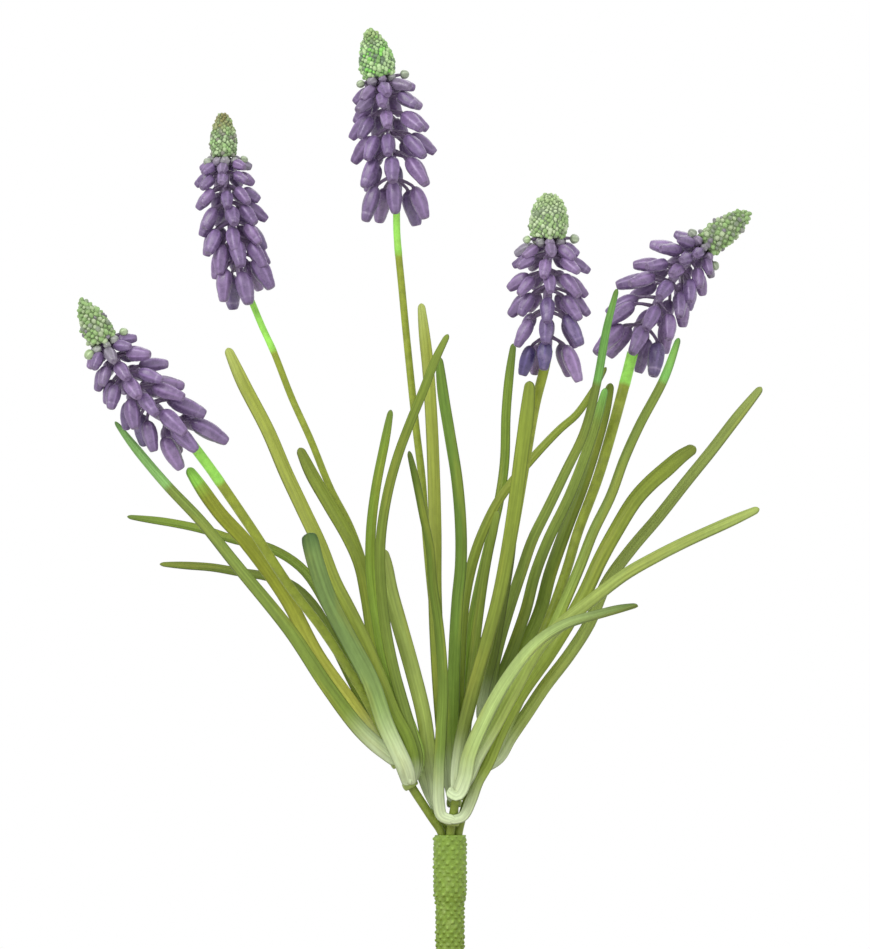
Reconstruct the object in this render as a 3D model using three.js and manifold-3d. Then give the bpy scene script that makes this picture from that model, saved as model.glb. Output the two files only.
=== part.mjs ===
// Artificial grape hyacinth: a moulded spray of five flower heads and eight leaf tufts on one
// knobbly sleeve stem, standing in the soil of a plain clay pot.
// Millimetres, +Z up. The origin is the centre of the pot's underside; -Y is the front.
import * as THREE from "three";
import { mergeVertices } from "three/addons/utils/BufferGeometryUtils.js";
import Module from "manifold-3d";

const wasm = await Module();
wasm.setup();

// ---------------------------------------------------------------- driving dimensions

const GAP = 0.3; // clearance between pieces that touch in the real object

const POT = {
  height: 80,
  baseRadius: 36,
  shoulderRadius: 48.5, // outer radius just under the rim band
  rimRadius: 55,
  rimHeight: 18,
  wall: 4.5,
  floor: 6,
  sides: 24,
};

const SOIL = { edge: 66, crown: 71, lump: 1.1, sides: 24, rings: 4, holeGap: 0.45 };

const STEM = {
  top: 115,
  foot: 32,
  radius: 4.15, // upper stretch
  slimRadius: 3.6, // below the step
  step: 99,
  knob: 0.35, // height of the relief
  pitch: 2.6,
  sides: 12,
  knobsFrom: 66, // below this the sleeve is plain and stands in the soil
  socketRadius: 3.6,
  socketDepth: 3.2,
};

const LEAF = {
  rootShare: 0.82, // of the root width, at the collar
  thickness: 0.95,
  edge: 0.62, // thickness at the two edges
  rootThickness: 1.4,
  fold: -0.13, // depth as a share of the width: above 0 a channel, below 0 a ridge
  taperFrom: 0.9, // the share of its length at which its end starts to narrow
  tip: 0.6, // width left at the very tip, as a share
  squareTaperFrom: 0.96,
  squareTip: 0.75,
  behind: 0.5, // a leaf that starts this far behind its collar's middle rises from the stalk's back
  stepLength: 16.5,
};

const COLLAR = { wall: 0.6, height: 2.2, sides: 8 };

// Florets stand in whorls. A `Power` is how a size changes down the head: above 1 it changes most
// among the lower whorls.
const FLORET = {
  around: 6,
  sides: 4,
  firstShare: 0.05, // where the top whorl leaves the head's middle line
  reachPower: 1.2, // the whorls are closer together at the top
  topDroop: 22, // degrees down from square to the line
  droopPower: 1.1,
  standSwell: 0.7, // what the middle whorls' pedicels are longer by
  slimRadius: 0.9, // its belly's radius is this and a share of its length
  radiusShare: 0.155,
  turnSpread: 14, // degrees
  droopSpread: 10, // degrees
  lengthSpread: 0.1, // as a share
  pedicelDroop: 0.4, // as a share of the floret's droop
  pedicelRadius: 0.5,
  bury: 0.7, // from the rachis's middle to the pedicel's buried end
  bellyShare: 0.42,
  mouthShare: 0.52, // of the belly's radius
};

// Small round buds, one whorl right under the tip.
const BUD = { around: 5, sides: 4, share: 0.02, droop: 12, radius: 1.1, stand: 3, reach: 4.1 };

const ROD = { sides: 6, steps: 14, boreGap: 0.42 };

// Shares run down a head's middle line from its tip.
const HEAD = {
  bend: 0.4,
  rachisShare: 0.88,
  rachisRadius: 1.1,
  seat: 0.45, // between the stalk's end and the rachis
};

const TIP = {
  sides: 10,
  rings: 7,
  sink: 0.32, // depth between the beads
  raise: 0.19, // height of the beads
  waist: 0.25, // the share of its height at which it is widest
  tuck: 0.65, // how far the base is drawn in: 1 closes it
  crown: 1.02, // the share of its height at which the outline closes
};

// The spray opens to the front and back as it rises: depths in the routes below hold up to
// `from`, and are `by` times as large from `to` on.
const OPENING = { from: 136, to: 215, by: 1.55 };

// Five stalks, each from its place in the stem's socket to the foot of its flower head.
const STALKS = {
  left_low: {
    radius: [1.05, 1.3],
    route: [
      [-1.95, -0.65, 112.2], [-2, -0.7, 115.2], [-5, -1.2, 120], [-10, -1.8, 127.75],
      [-13, -2.1, 133.2], [-22.25, -4.6, 151.25], [-32.25, -7, 167], [-39.75, -8.8, 176.75],
      [-49.25, -11.5, 191.25], [-55.5, -13.6, 200.5], [-60, -15.4, 207],
    ],
  },
  left_high: {
    radius: [1.05, 1.1],
    route: [
      [-1.25, 1.7, 112.2], [-1.4, 1.8, 115.4], [-5.2, 2.8, 128], [-11, 5, 147], [-18.75, 7.5, 173.75],
      [-24.75, 9.5, 191.5], [-30, 11, 201.75], [-35, 12.5, 214], [-39.75, 14, 224.5],
      [-44.25, 15.3, 236], [-47.2, 16, 242.4], [-49.8, 16.8, 248.6],
    ],
  },
  middle: {
    radius: [1.05, 1.3],
    route: [
      [1.25, 1.7, 112.2], [1.25, 1.8, 115.4], [0.8, 3.7, 128], [-0.8, 5.6, 145], [-2.8, 7, 160],
      [-4.6, 8.2, 175], [-6, 9.2, 190], [-7, 10.4, 204], [-8.5, 11.6, 216.75], [-10.75, 13.8, 238.25],
      [-12, 15, 251.25], [-13.3, 16.4, 265.5],
    ],
  },
  front: {
    radius: [1.05, 1.25],
    route: [
      [0, -2.15, 112.2], [0.05, -2.25, 115.2], [0.5, -3, 118.5], [1.6, -3.9, 125], [3.2, -3.9, 138],
      [9.5, -4.3, 162.5], [14, -5.4, 181], [16.6, -6.8, 195], [18.9, -8.6, 208.75],
      [21.3, -10.8, 222.75], [23.5, -12.8, 231.5],
    ],
  },
  right: {
    radius: [1.05, 1.4],
    route: [
      [2, -0.7, 112.2], [2.1, -0.7, 115.4], [6.5, -0.9, 130.75], [9, -0.6, 137], [15, 0, 149.5],
      [22.5, 0.8, 163.75], [28.75, 2, 180], [32, 3, 190.75], [37, 5, 204.25], [41.1, 7.4, 218],
      [43.8, 9.4, 228],
    ],
  },
};

// Each head hangs on its stalk: the rachis runs from `top`, where the green tip sits, down towards
// `low`; the lowest florets reach about as far as the stalk's last bare point. `lengths` are the
// florets' in the top and the lowest whorl, `stands` their pedicels' from the middle of the rachis,
// and `fling` is what the pedicels to the right (above 0) or the left are longer by at the foot.
// `reach` is where the lowest whorl leaves the middle line, as a share of it.
const HEADS = {
  left_low: {
    apex: [-92.1, -24.5, 249.2],
    top: [-86.1, -23, 238.2],
    low: [-61.8, -16.6, 211.2],
    tipRadius: 3.9, tipPoint: 1.4, rows: 6,
    lengths: [5, 9.2], stands: [2.6, 4.5], fling: 1.5, lowDroop: 66, reach: 0.76,
  },
  left_high: {
    apex: [-57.1, 18.6, 296.5],
    top: [-56.7, 18.4, 284.6],
    low: [-51, 17.1, 249],
    tipRadius: 3.5, tipPoint: 1.5, rows: 7,
    lengths: [4, 8.4], stands: [2.8, 4.6], fling: 0, lowDroop: 72, reach: 0.75,
  },
  middle: {
    apex: [-20.3, 19.6, 317.5],
    top: [-17.5, 19, 304.6],
    low: [-13.1, 16.8, 268.5],
    tipRadius: 4.6, tipPoint: 1.6, rows: 6,
    lengths: [5.5, 8.8], stands: [3.4, 5.4], fling: 0.6, lowDroop: 68, reach: 0.72,
  },
  front: {
    apex: [24.8, -16.4, 275.5],
    top: [24.5, -15.8, 264],
    low: [24.4, -13.4, 232],
    tipRadius: 4.9, tipPoint: 2.2, rows: 6,
    lengths: [5.2, 7.6], stands: [3.5, 4.8], fling: 2.5, lowDroop: 70, reach: 0.78,
  },
  right: {
    apex: [75.5, 18, 271.4],
    top: [63.7, 16.4, 262.2],
    low: [44, 10.2, 230.8],
    tipRadius: 3.8, tipPoint: 1.4, rows: 6,
    lengths: [5, 8.5], stands: [3.3, 5.2], fling: -2, lowDroop: 66, reach: 0.7,
  },
};

// Eight moulded tufts, each threaded on a stalk by its collar. A leaf is [root width, tip width],
// [roll at root, roll at tip] in degrees and its route to the tip; it grows from inside the collar,
// or from `start` = [to the right, up] of the collar's middle.
const TUFTS = {
  left_outer: {
    stalk: "left_low",
    height: 133.2,
    leaves: [
      {
        width: [4.2, 2.2], roll: [-10, -30], tip: 0.35,
        route: [
          [-15.6, -4.6, 135.2], [-22.4, -6.4, 141.4], [-31, -9, 152.8], [-39.8, -11, 166],
          [-53.3, -13.4, 182.6], [-62, -14.4, 193.4], [-70.5, -15, 202.4], [-78, -15.2, 211.25],
          [-83.5, -15, 218.25],
        ],
      },
      {
        width: [4.2, 3.6], roll: [-10, -25],
        route: [
          [-16.9, -1, 137], [-25.7, -0.6, 149.2], [-33.3, -0.8, 160], [-41, -1.6, 174.5],
          [-50.75, -2.6, 188], [-57.75, -3.4, 195.75], [-65.5, -4.4, 206.75],
        ],
      },
      {
        width: [3.0, 1.9], roll: [0, -20], tip: 0.45,
        route: [
          [-15.8, 1.6, 139.5], [-19.6, 3, 147], [-24.5, 5, 158.75], [-30.3, 7, 171.25],
          [-36.75, 9.4, 181.25], [-45, 12, 186.6], [-54.5, 14, 188.9], [-61.5, 15.4, 191.2],
          [-70, 17, 193], [-81, 18.6, 194.5],
        ],
      },
      {
        width: [3.0, 1.9], roll: [0, -20], tip: 0.45,
        route: [
          [-16.8, 1.2, 139.5], [-23.25, 2.4, 151.25], [-27.75, 3.4, 160.25], [-33.5, 5.4, 171.5],
          [-39.25, 7.4, 177.2], [-46, 9.6, 179.6], [-52.5, 11.2, 180.6], [-59.5, 12.6, 181.8],
          [-66.5, 13.6, 182.3], [-72.75, 14.2, 182.6],
        ],
      },
    ],
  },
  left_front: {
    stalk: "left_low",
    height: 127.75,
    leaves: [
      {
        width: [4.4, 4.4], roll: [10, -12], square: true, fold: 0.17,
        route: [
          [-11.2, -6.6, 132], [-16, -8.4, 142.5], [-19.75, -9.8, 153.5], [-25, -11.6, 163.5],
          [-30.2, -13.4, 173.5], [-33.7, -15.2, 183.5], [-35.4, -16.4, 190.5],
        ],
      },
      {
        width: [4.0, 3.4], roll: [0, -20],
        route: [
          [-9.4, -5.6, 132.6], [-10.75, -6.4, 138.75], [-14.25, -6.6, 145.5], [-17.75, -6.6, 154.5],
          [-21.5, -6.6, 163.5], [-25.4, -6.4, 171.5], [-29, -5.8, 178.5], [-32.5, -4.6, 187.5],
          [-36.75, -2.6, 196.5], [-41, -0.4, 205.5], [-45.5, 2, 216], [-51.75, 5, 228],
          [-55.75, 7, 236.75],
        ],
      },
      {
        width: [3.2, 2.2], roll: [0, 0],
        route: [
          [-7.8, -3.3, 133.8], [-10.05, -3.4, 142.5], [-13, -3.6, 149], [-16, -3.6, 157.25],
          [-18.25, -4, 168.75], [-19.75, -4.8, 180.25], [-19.75, -6.2, 191], [-18.5, -8, 201.75],
          [-16.25, -10, 213.25], [-14.75, -11.4, 221.25],
        ],
      },
      {
        width: [3.0, 2.2], roll: [0, 10],
        route: [
          [-8.1, -4.8, 133.4], [-10.2, -5.4, 142], [-13.4, -5.8, 153.75], [-16, -6.8, 166.25],
          [-17.3, -8.4, 178.75], [-17.3, -10.2, 188.75], [-15.75, -12.4, 199.5], [-13.25, -14.4, 209],
          [-10.25, -16.4, 217.25], [-6.75, -18.4, 225.75], [-3.5, -20.2, 234], [-0.5, -21.6, 240],
        ],
      },
    ],
  },
  middle_front: {
    stalk: "front",
    height: 118.5,
    leaves: [
      {
        width: [3.2, 1.8], roll: [0, 10], start: [0.9, 0.1],
        route: [
          [-2, -4.2, 119.8], [-2.8, -4.7, 123], [-2.8, -5, 131.25], [-2.25, -5.2, 140.25],
          [-1.75, -5.6, 153.5], [-2.75, -6.2, 167], [-4.3, -6.8, 178], [-5, -7.6, 186.75],
          [-6.75, -8.6, 195.25], [-8.5, -9.6, 203.75], [-10.25, -10.6, 211],
        ],
      },
      {
        width: [2.8, 4.4], roll: [10, 25], start: [-0.9, 0.1],
        route: [
          [3.2, -4.2, 119.6], [5.2, -4.7, 123.5], [7, -5.1, 128.5], [9.4, -4.9, 132.8],
          [13.2, -5.4, 141.75], [18, -5.6, 150.5], [25.25, -5.4, 161], [33.4, -4, 175],
          [37.5, -2.6, 183.8], [41.2, -1, 190.6], [46.2, 0.9, 198.7], [50, 2, 202.9],
          [54, 3.2, 206.4], [57.6, 4.3, 209.5], [61.4, 5.6, 212],
        ],
      },
    ],
  },
  middle_left: {
    stalk: "left_high",
    height: 121.2,
    leaves: [
      {
        width: [3.4, 3.4], roll: [0, -15],
        route: [
          [-4.4, 0.6, 124.2], [-6.2, 0.8, 128.8], [-8.2, 0.8, 134], [-10.9, 0.6, 142],
          [-14.6, 0.8, 151.25], [-18.8, 1, 163], [-20.6, 1.2, 173.75], [-22.4, 1.8, 182.5],
          [-25.2, 2.8, 189], [-30, 4.4, 197.25], [-34.6, 6, 205.2], [-37.75, 7.2, 211.75],
        ],
      },
      {
        width: [3.6, 4.2], roll: [0, 0],
        route: [
          [-3.8, 0.2, 127], [-5, 0.2, 134], [-6.6, -0.6, 145], [-9.4, -0.8, 156.25], [-12.6, -0.8, 167.5],
          [-15.2, -0.8, 176.75], [-17, -0.8, 186.5],
        ],
      },
    ],
  },
  middle_back: {
    stalk: "middle",
    height: 123,
    leaves: [
      {
        width: [3.8, 2.9], roll: [0, -10],
        route: [
          [-1, 2.2, 134.5], [-1.8, 2.4, 142], [-3, 3.4, 158], [-3.75, 4.6, 175], [-3.75, 6, 191],
          [-4.25, 8, 210.25], [-4.75, 9.2, 221], [-5.5, 10.6, 232], [-6.5, 12, 241], [-7.25, 13.2, 248],
        ],
      },
      {
        width: [3.2, 2.8], roll: [0, 10],
        route: [
          [0.6, 1.4, 136], [0.8, 0.8, 147.75], [1.25, 0.6, 163.25], [1.9, 0.6, 174], [2.7, 0.4, 182.5],
          [2.7, 0, 192], [1.75, -0.8, 203.75], [0, -1.6, 214.75], [-1.75, -2.4, 225.5],
          [-2.75, -3, 234.5],
        ],
      },
      {
        width: [3.8, 1.6], roll: [0, 20],
        route: [
          [1.8, 3.4, 140], [2, 4, 150], [2.6, 4.6, 163.25], [3.7, 5.2, 174.25], [5.75, 6, 183.5],
          [8.5, 6.8, 191.25], [12.75, 7.8, 199.5], [20.5, 9.2, 209], [27.5, 10.2, 216.4],
          [31.8, 10.8, 220.2], [35.8, 11.4, 226], [39.2, 11.8, 232],
        ],
      },
      {
        width: [2.8, 2.3], roll: [0, 10],
        route: [
          [2, 5.6, 138], [3, 7.6, 150], [5, 9.6, 165], [7.6, 11.6, 178], [10.4, 13.4, 190],
          [12.6, 14.8, 200], [13.75, 16, 208.75], [14.1, 17.2, 220.5], [14.9, 18.2, 229.75],
          [16, 19, 238],
        ],
      },
      {
        width: [2.9, 2.2], roll: [0, 15],
        route: [
          [3.6, 2, 139], [5.1, 1.6, 151.25], [7, 1.4, 168.75], [9.25, 1.4, 183.75], [12, 1.4, 196],
        ],
      },
    ],
  },
  right_front: {
    stalk: "front",
    height: 125,
    leaves: [
      {
        width: [3.0, 3.8], roll: [0, 12],
        route: [
          [1.5, -6.2, 129], [2.6, -6.9, 138.25], [5.6, -7.3, 151], [8.9, -7.8, 162.5], [12, -8.8, 174],
          [14, -9.8, 184], [15.8, -11, 195], [17.6, -12.6, 208.75], [19.3, -14.1, 221.5],
          [19.9, -15, 228.4],
        ],
      },
      {
        width: [4.2, 3.0], roll: [14, 60], fold: 0.17, tip: 0.25, start: [-2.1, 1.3],
        route: [
          [1.8, -6.8, 125.3], [3.7, -7.8, 129], [4.9, -9, 134.8], [8.75, -10.8, 143.75], [14.5, -12.8, 154],
          [21, -15, 162.25], [28.25, -17.6, 167.25], [38.5, -20.6, 170.4], [46.75, -23, 172.5],
        ],
      },
      {
        width: [3.8, 2.8], roll: [12, 30],
        route: [
          [4.4, -6.6, 129.4], [6.4, -7.6, 134], [11.5, -8.6, 143], [16.25, -9.4, 151.75],
          [22.5, -10.6, 162.5], [28.25, -11.6, 168.25], [34.25, -12.6, 173], [43.5, -14, 180.1],
          [51.5, -15, 184.7], [59, -16, 188.5], [68, -17.2, 192.6], [77, -18.2, 196.6],
        ],
      },
    ],
  },
  right_outer: {
    stalk: "right",
    height: 130.75,
    leaves: [
      {
        width: [3.4, 2.8], roll: [10, 25],
        route: [
          [12, -1.8, 134.2], [15, -1.8, 139.2], [18.8, -1.4, 144.8], [23.6, -0.6, 152],
          [29.7, 0.8, 159.9], [34.75, 2.4, 167.75], [39, 4.6, 177.6], [45.2, 7, 186.25],
          [52.25, 9.6, 194.5], [59, 12, 203], [65.75, 14.4, 211.3], [72.5, 16.6, 220],
          [78.25, 18.2, 227],
        ],
      },
      {
        width: [3.2, 2.2], roll: [10, 20],
        route: [
          [10.2, -3.6, 135], [13, -3.8, 140], [17.4, -3.4, 149.3], [22.6, -2.9, 160],
          [27.8, -2.2, 171.25], [32.6, -1.4, 182.5], [35.8, -0.9, 190.75], [40.2, -0.4, 199.75],
          [43.6, 0, 209], [47.4, 0.2, 217.4], [53.5, 0.2, 229], [57.25, 0, 239.25],
        ],
      },
    ],
  },
  right_back: {
    stalk: "right",
    height: 139.5,
    leaves: [
      {
        width: [3.4, 1.8], roll: [0, 20],
        route: [
          [8.8, 1.8, 144.5], [9.8, 2.4, 152], [11.8, 2.8, 161.5], [14.4, 2.6, 170.5], [18, 2.2, 181.25],
          [20.6, 1.8, 188.75], [24.4, 1.2, 196.5], [29, 0.4, 206], [33.5, -0.4, 215.5],
          [36.75, -1.2, 228], [39.25, -2, 242], [41.75, -2.6, 251.5],
        ],
      },
      {
        width: [3.2, 2.4], roll: [0, 20],
        route: [
          [10.4, 3, 145.5], [12.8, 4.4, 154], [16, 5.2, 162.5], [19, 5.6, 171.25], [21.25, 5.6, 180],
          [24.6, 5.4, 188.75], [30, 5, 200], [35.2, 4.6, 213.75], [39, 4.4, 226.75],
        ],
      },
      {
        width: [3.6, 3.0], roll: [0, 15],
        route: [
          [12, 4, 145.5], [15.4, 6, 154], [19.6, 7.4, 163.75], [22.7, 8.2, 171.25], [25, 8.8, 180],
          [28.5, 9.4, 190], [33.7, 10.6, 203.75], [37.5, 12.2, 216], [40.4, 13.8, 228],
        ],
      },
      {
        width: [2.8, 2.4], roll: [0, 10],
        route: [
          [8, 0.3, 144.5], [8.5, 0.1, 150.5], [11, -0.3, 161.25], [13.25, -0.8, 173.75],
          [14.9, -1.2, 184], [16.2, -1.8, 197],
        ],
      },
    ],
  },
};

// ---------------------------------------------------------------- small helpers

const { degToRad: radians, lerp: mix, smoothstep } = THREE.MathUtils;
const curve = (points) => new THREE.CatmullRomCurve3(points, false, "centripetal");

/** A listed place in the spray, opened to the front or back by its height. */
function place([x, y, z]) {
  return new THREE.Vector3(x, y * mix(1, OPENING.by, smoothstep(z, OPENING.from, OPENING.to)), z);
}

/** A repeatable pseudo-random number from 0 to 1 for the integer n. */
function chance(n) {
  const s = Math.sin(n * 12.9898 + 4.1) * 43758.5453;
  return s - Math.floor(s);
}

/** A closed geometry from rings of equal length, with a fan at each end. */
function loft(rings, startPoint = null, endPoint = null) {
  const count = rings[0].length;
  const points = rings.flat();
  const faces = [];
  for (let r = 0; r + 1 < rings.length; r++) {
    for (let i = 0; i < count; i++) {
      const a = r * count + i;
      const b = r * count + ((i + 1) % count);
      faces.push(a, b, b + count, a, b + count, a + count);
    }
  }
  const last = (rings.length - 1) * count;
  if (startPoint) {
    points.push(startPoint);
    for (let i = 0; i < count; i++) faces.push(points.length - 1, (i + 1) % count, i);
  } else {
    for (let i = 1; i + 1 < count; i++) faces.push(0, i + 1, i);
  }
  if (endPoint) {
    points.push(endPoint);
    for (let i = 0; i < count; i++) faces.push(points.length - 1, last + i, last + ((i + 1) % count));
  } else {
    for (let i = 1; i + 1 < count; i++) faces.push(last, last + i, last + i + 1);
  }
  const geometry = new THREE.BufferGeometry().setFromPoints(points);
  geometry.setIndex(faces);
  return geometry;
}

/** The manifold-3d solid of a closed geometry, turned to face out if need be. */
function solid(geometry) {
  const plain = new THREE.BufferGeometry();
  plain.setAttribute("position", geometry.getAttribute("position"));
  plain.setIndex(geometry.getIndex());
  const merged = mergeVertices(plain, 1e-3);
  const vertProperties = merged.getAttribute("position").array;
  const triVerts = new Uint32Array(merged.getIndex().array);
  const make = () => new wasm.Manifold(new wasm.Mesh({ numProp: 3, vertProperties, triVerts }));
  let made = make();
  if (made.volume() < 0) {
    triVerts.reverse(); // the same triangles, each wound the other way
    made = make();
  }
  return made;
}

/** One solid from many that overlap. */
const fuse = (solids) => wasm.Manifold.union(solids);

/** The outer body alone: sealed hollows between fused pieces are filled, loose scraps dropped. */
function mainBody(made) {
  const bodies = solid(geometryOf(made)).decompose();
  return bodies.reduce((best, body) => (body.volume() > best.volume() ? body : best));
}

/** A three.js geometry from a manifold-3d solid. */
function geometryOf(made) {
  const mesh = made.getMesh();
  const geometry = new THREE.BufferGeometry();
  geometry.setAttribute("position", new THREE.BufferAttribute(new Float32Array(mesh.vertProperties), 3));
  geometry.setIndex(new THREE.BufferAttribute(new Uint32Array(mesh.triVerts), 1));
  return geometry;
}

/** A ring of points round `centre`, in the plane of the unit vectors u and v. */
function ring(centre, u, v, radius, sides, phase = 0) {
  return Array.from({ length: sides }, (_, i) => {
    const angle = phase + (i / sides) * 2 * Math.PI;
    const r = typeof radius === "function" ? radius(i) : radius;
    return centre.clone().addScaledVector(u, Math.cos(angle) * r).addScaledVector(v, Math.sin(angle) * r);
  });
}

/** Two unit vectors square to `axis`; the first leans to the right. */
function sidesOf(axis) {
  const front = new THREE.Vector3(0, -1, 0);
  const u = new THREE.Vector3().crossVectors(axis, front).normalize();
  return [u, new THREE.Vector3().crossVectors(u, axis).normalize().negate()];
}

// ---------------------------------------------------------------- pot, soil and stem

function potGeometry() {
  const { height, baseRadius, shoulderRadius, rimRadius, rimHeight, wall, floor, sides } = POT;
  const rimFoot = height - rimHeight;
  const outline = [
    [0, 0],
    [baseRadius - 1.5, 0],
    [baseRadius, 1.5],
    [shoulderRadius, rimFoot],
    [rimRadius - 1.6, rimFoot + 0.4],
    [rimRadius - 0.6, rimFoot + 2],
    [rimRadius, height - 2],
    [rimRadius - 1.8, height],
    [rimRadius - wall, height],
    [rimRadius - wall - 1.6, height - 2],
    [shoulderRadius - wall, rimFoot - 1],
    [potInnerRadius(floor), floor],
    [0, floor],
  ].map(([x, y]) => new THREE.Vector2(x, y));
  return new THREE.LatheGeometry(outline, sides).rotateX(Math.PI / 2);
}

/** The pot's inner radius at a height below the rim band. */
function potInnerRadius(z) {
  const { baseRadius, shoulderRadius, rimHeight, height, wall } = POT;
  return mix(baseRadius, shoulderRadius, z / (height - rimHeight)) - wall;
}

/** Soil that fills the pot, crowned and lumpy on top, with a plain blind hole for the stem. */
function soilGeometry() {
  const { edge, crown, lump, sides, rings } = SOIL;
  const up = new THREE.Vector3(0, 0, 1);
  const [u, v] = sidesOf(up);
  const hole = STEM.slimRadius + STEM.knob + SOIL.holeGap;
  const floorZ = POT.floor + GAP;
  const wallTop = POT.height - POT.rimHeight - 2;
  const level = (z, radius) => ring(new THREE.Vector3(0, 0, z), u, v, radius, sides);
  const made = [level(floorZ, potInnerRadius(floorZ) - GAP), level(wallTop, potInnerRadius(wallTop) - GAP)];
  const edgeRadius = potInnerRadius(wallTop) + 0.4;
  for (let k = 0; k <= rings; k++) {
    const radius = mix(edgeRadius, hole, k / rings);
    const points = level(mix(edge, crown, 1 - (radius / edgeRadius) ** 2), radius);
    if (k < rings) points.forEach((p, i) => (p.z += lump * (2 * chance(k * 53 + i) - 1)));
    made.push(points);
  }
  made.push(level(STEM.foot - GAP, hole));
  return loft(made, new THREE.Vector3(0, 0, floorZ), new THREE.Vector3(0, 0, STEM.foot - GAP));
}

/** The knobbly sleeve, with a shallow socket in its top that the five stalks stand in. */
function stemGeometry() {
  const { top, foot, radius, slimRadius, step, knob, knobsFrom, pitch, sides } = STEM;
  const { socketRadius, socketDepth } = STEM;
  const [u, v] = sidesOf(new THREE.Vector3(0, 0, 1));
  const rows = Math.round((top - knobsFrom) / pitch);
  const rings = [ring(new THREE.Vector3(0, 0, foot), u, v, slimRadius, sides)];
  for (let k = 0; k <= rows; k++) {
    const z = mix(knobsFrom, top, k / rows);
    const body = mix(slimRadius, radius, smoothstep(z, step - 2, step + 2));
    const raised = (i) => body + (k > 0 && k < rows && (i + k) % 2 ? knob : 0);
    rings.push(ring(new THREE.Vector3(0, 0, z), u, v, raised, sides));
  }
  rings.push(ring(new THREE.Vector3(0, 0, top), u, v, socketRadius, sides));
  rings.push(ring(new THREE.Vector3(0, 0, top - socketDepth), u, v, socketRadius, sides));
  return loft(rings, new THREE.Vector3(0, 0, foot), new THREE.Vector3(0, 0, top - socketDepth));
}

// ---------------------------------------------------------------- stalks

/** A round tapering rod through points; `extra` is added to its radius. */
function rodGeometry(points, [footRadius, topRadius], sides, steps, extra = 0) {
  const path = curve(points);
  const rings = [];
  for (let k = 0; k <= steps; k++) {
    const u = (k / steps) ** 1.5; // shorter steps at the foot, where the stalks part
    const radius = mix(footRadius, topRadius, u) + extra;
    rings.push(ring(path.getPointAt(u), ...sidesOf(path.getTangentAt(u)), radius, sides));
  }
  return loft(rings);
}

/** The stalk's places, continued inside the head as far as the rachis. */
function stalkPoints(name) {
  const line = headLine(HEADS[name]);
  const down = line.getTangent(HEAD.rachisShare);
  const foot = line.getPoint(HEAD.rachisShare).addScaledVector(down, HEAD.seat);
  return [...STALKS[name].route.map(place), foot];
}

// ---------------------------------------------------------------- leaf tufts

/** Half the width of a leaf at u, from 0 at the root to 1 at the tip. */
function leafHalfWidth(leaf, u) {
  const inCollar = mix(LEAF.rootShare, 1, smoothstep(u, 0, 0.07));
  const straight = (inCollar * mix(leaf.width[0], leaf.width[1], u)) / 2;
  const start = leaf.square ? LEAF.squareTaperFrom : LEAF.taperFrom;
  if (u <= start) return straight;
  const w = (u - start) / (1 - start);
  const tip = leaf.square ? LEAF.squareTip : (leaf.tip ?? LEAF.tip);
  return straight * mix(1, tip, w * w);
}

/** A folded strap with blunt edges, thicker towards the root, which passes the stalk's front or back. */
function leafGeometry(leaf, collarCentre, offset) {
  const route = leaf.route.map(place);
  const side = route[0].y > collarCentre.y + LEAF.behind ? offset : -offset;
  const [aside, up] = leaf.start ?? [0, 0];
  const path = curve([collarCentre.clone().add(new THREE.Vector3(aside, side, up)), ...route]);
  const rings = [];
  const steps = Math.max(6, Math.ceil(path.getLength() / LEAF.stepLength));
  for (let k = 0; k <= steps; k++) {
    const u = k / steps - 0.1 * Math.sin((2 * Math.PI * k) / steps); // shorter steps at both ends
    const centre = path.getPointAt(u);
    const along = path.getTangentAt(u);
    const [right, back] = sidesOf(along);
    const roll = radians(mix(leaf.roll[0], leaf.roll[1], u));
    const face = back.clone().negate();
    const w = right.clone().multiplyScalar(Math.cos(roll)).addScaledVector(face, Math.sin(roll));
    const n = face.clone().multiplyScalar(Math.cos(roll)).addScaledVector(right, -Math.sin(roll));
    const half = leafHalfWidth(leaf, u);
    const thick = mix(LEAF.rootThickness, LEAF.thickness, Math.min(1, u * 5));
    const dip = (leaf.fold ?? LEAF.fold) * 2 * half;
    const section = [
      [-half, dip / 2],
      [0, -dip / 2],
      [half, dip / 2],
      [half, dip / 2 - LEAF.edge],
      [0, -dip / 2 - thick],
      [-half, dip / 2 - LEAF.edge],
    ];
    const at = ([a, b]) => centre.clone().addScaledVector(w, a).addScaledVector(n, b + thick / 2);
    rings.push(section.map(at));
  }
  return loft(rings);
}

/** The ring that threads a tuft on its stalk, as a solid with no bore yet. */
function collarGeometry(path, u, radius) {
  const axis = path.getTangentAt(u);
  const centre = path.getPointAt(u);
  const [right, back] = sidesOf(axis);
  const half = COLLAR.height / 2;
  const levels = [
    [-half, radius * 0.72],
    [-half * 0.45, radius],
    [half * 0.45, radius],
    [half, radius * 0.72],
  ];
  const level = ([d, r]) => ring(centre.clone().addScaledVector(axis, d), right, back, r, COLLAR.sides);
  return loft(levels.map(level));
}

/** The share of a stalk's length at which it reaches a height. */
function shareAtHeight(path, height) {
  let low = 0;
  let high = 1;
  for (let i = 0; i < 30; i++) {
    const middle = (low + high) / 2;
    if (path.getPointAt(middle).z < height) low = middle;
    else high = middle;
  }
  return low;
}

/** A tuft: its leaves fused at a collar that is bored out for the stalk. */
function tuftSolid(tuft) {
  const { radius } = STALKS[tuft.stalk];
  const points = stalkPoints(tuft.stalk);
  const path = curve(points);
  const u = shareAtHeight(path, tuft.height);
  const stalkRadius = mix(radius[0], radius[1], u);
  const collar = solid(collarGeometry(path, u, stalkRadius + GAP + COLLAR.wall));
  const bore = solid(rodGeometry(points, radius, ROD.sides, ROD.steps, ROD.boreGap));
  const offset = stalkRadius + GAP + COLLAR.wall;
  const leaves = tuft.leaves.map((leaf) => solid(leafGeometry(leaf, path.getPointAt(u), offset)));
  return mainBody(fuse([collar, ...leaves]).subtract(bore));
}

// ---------------------------------------------------------------- flower heads

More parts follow.
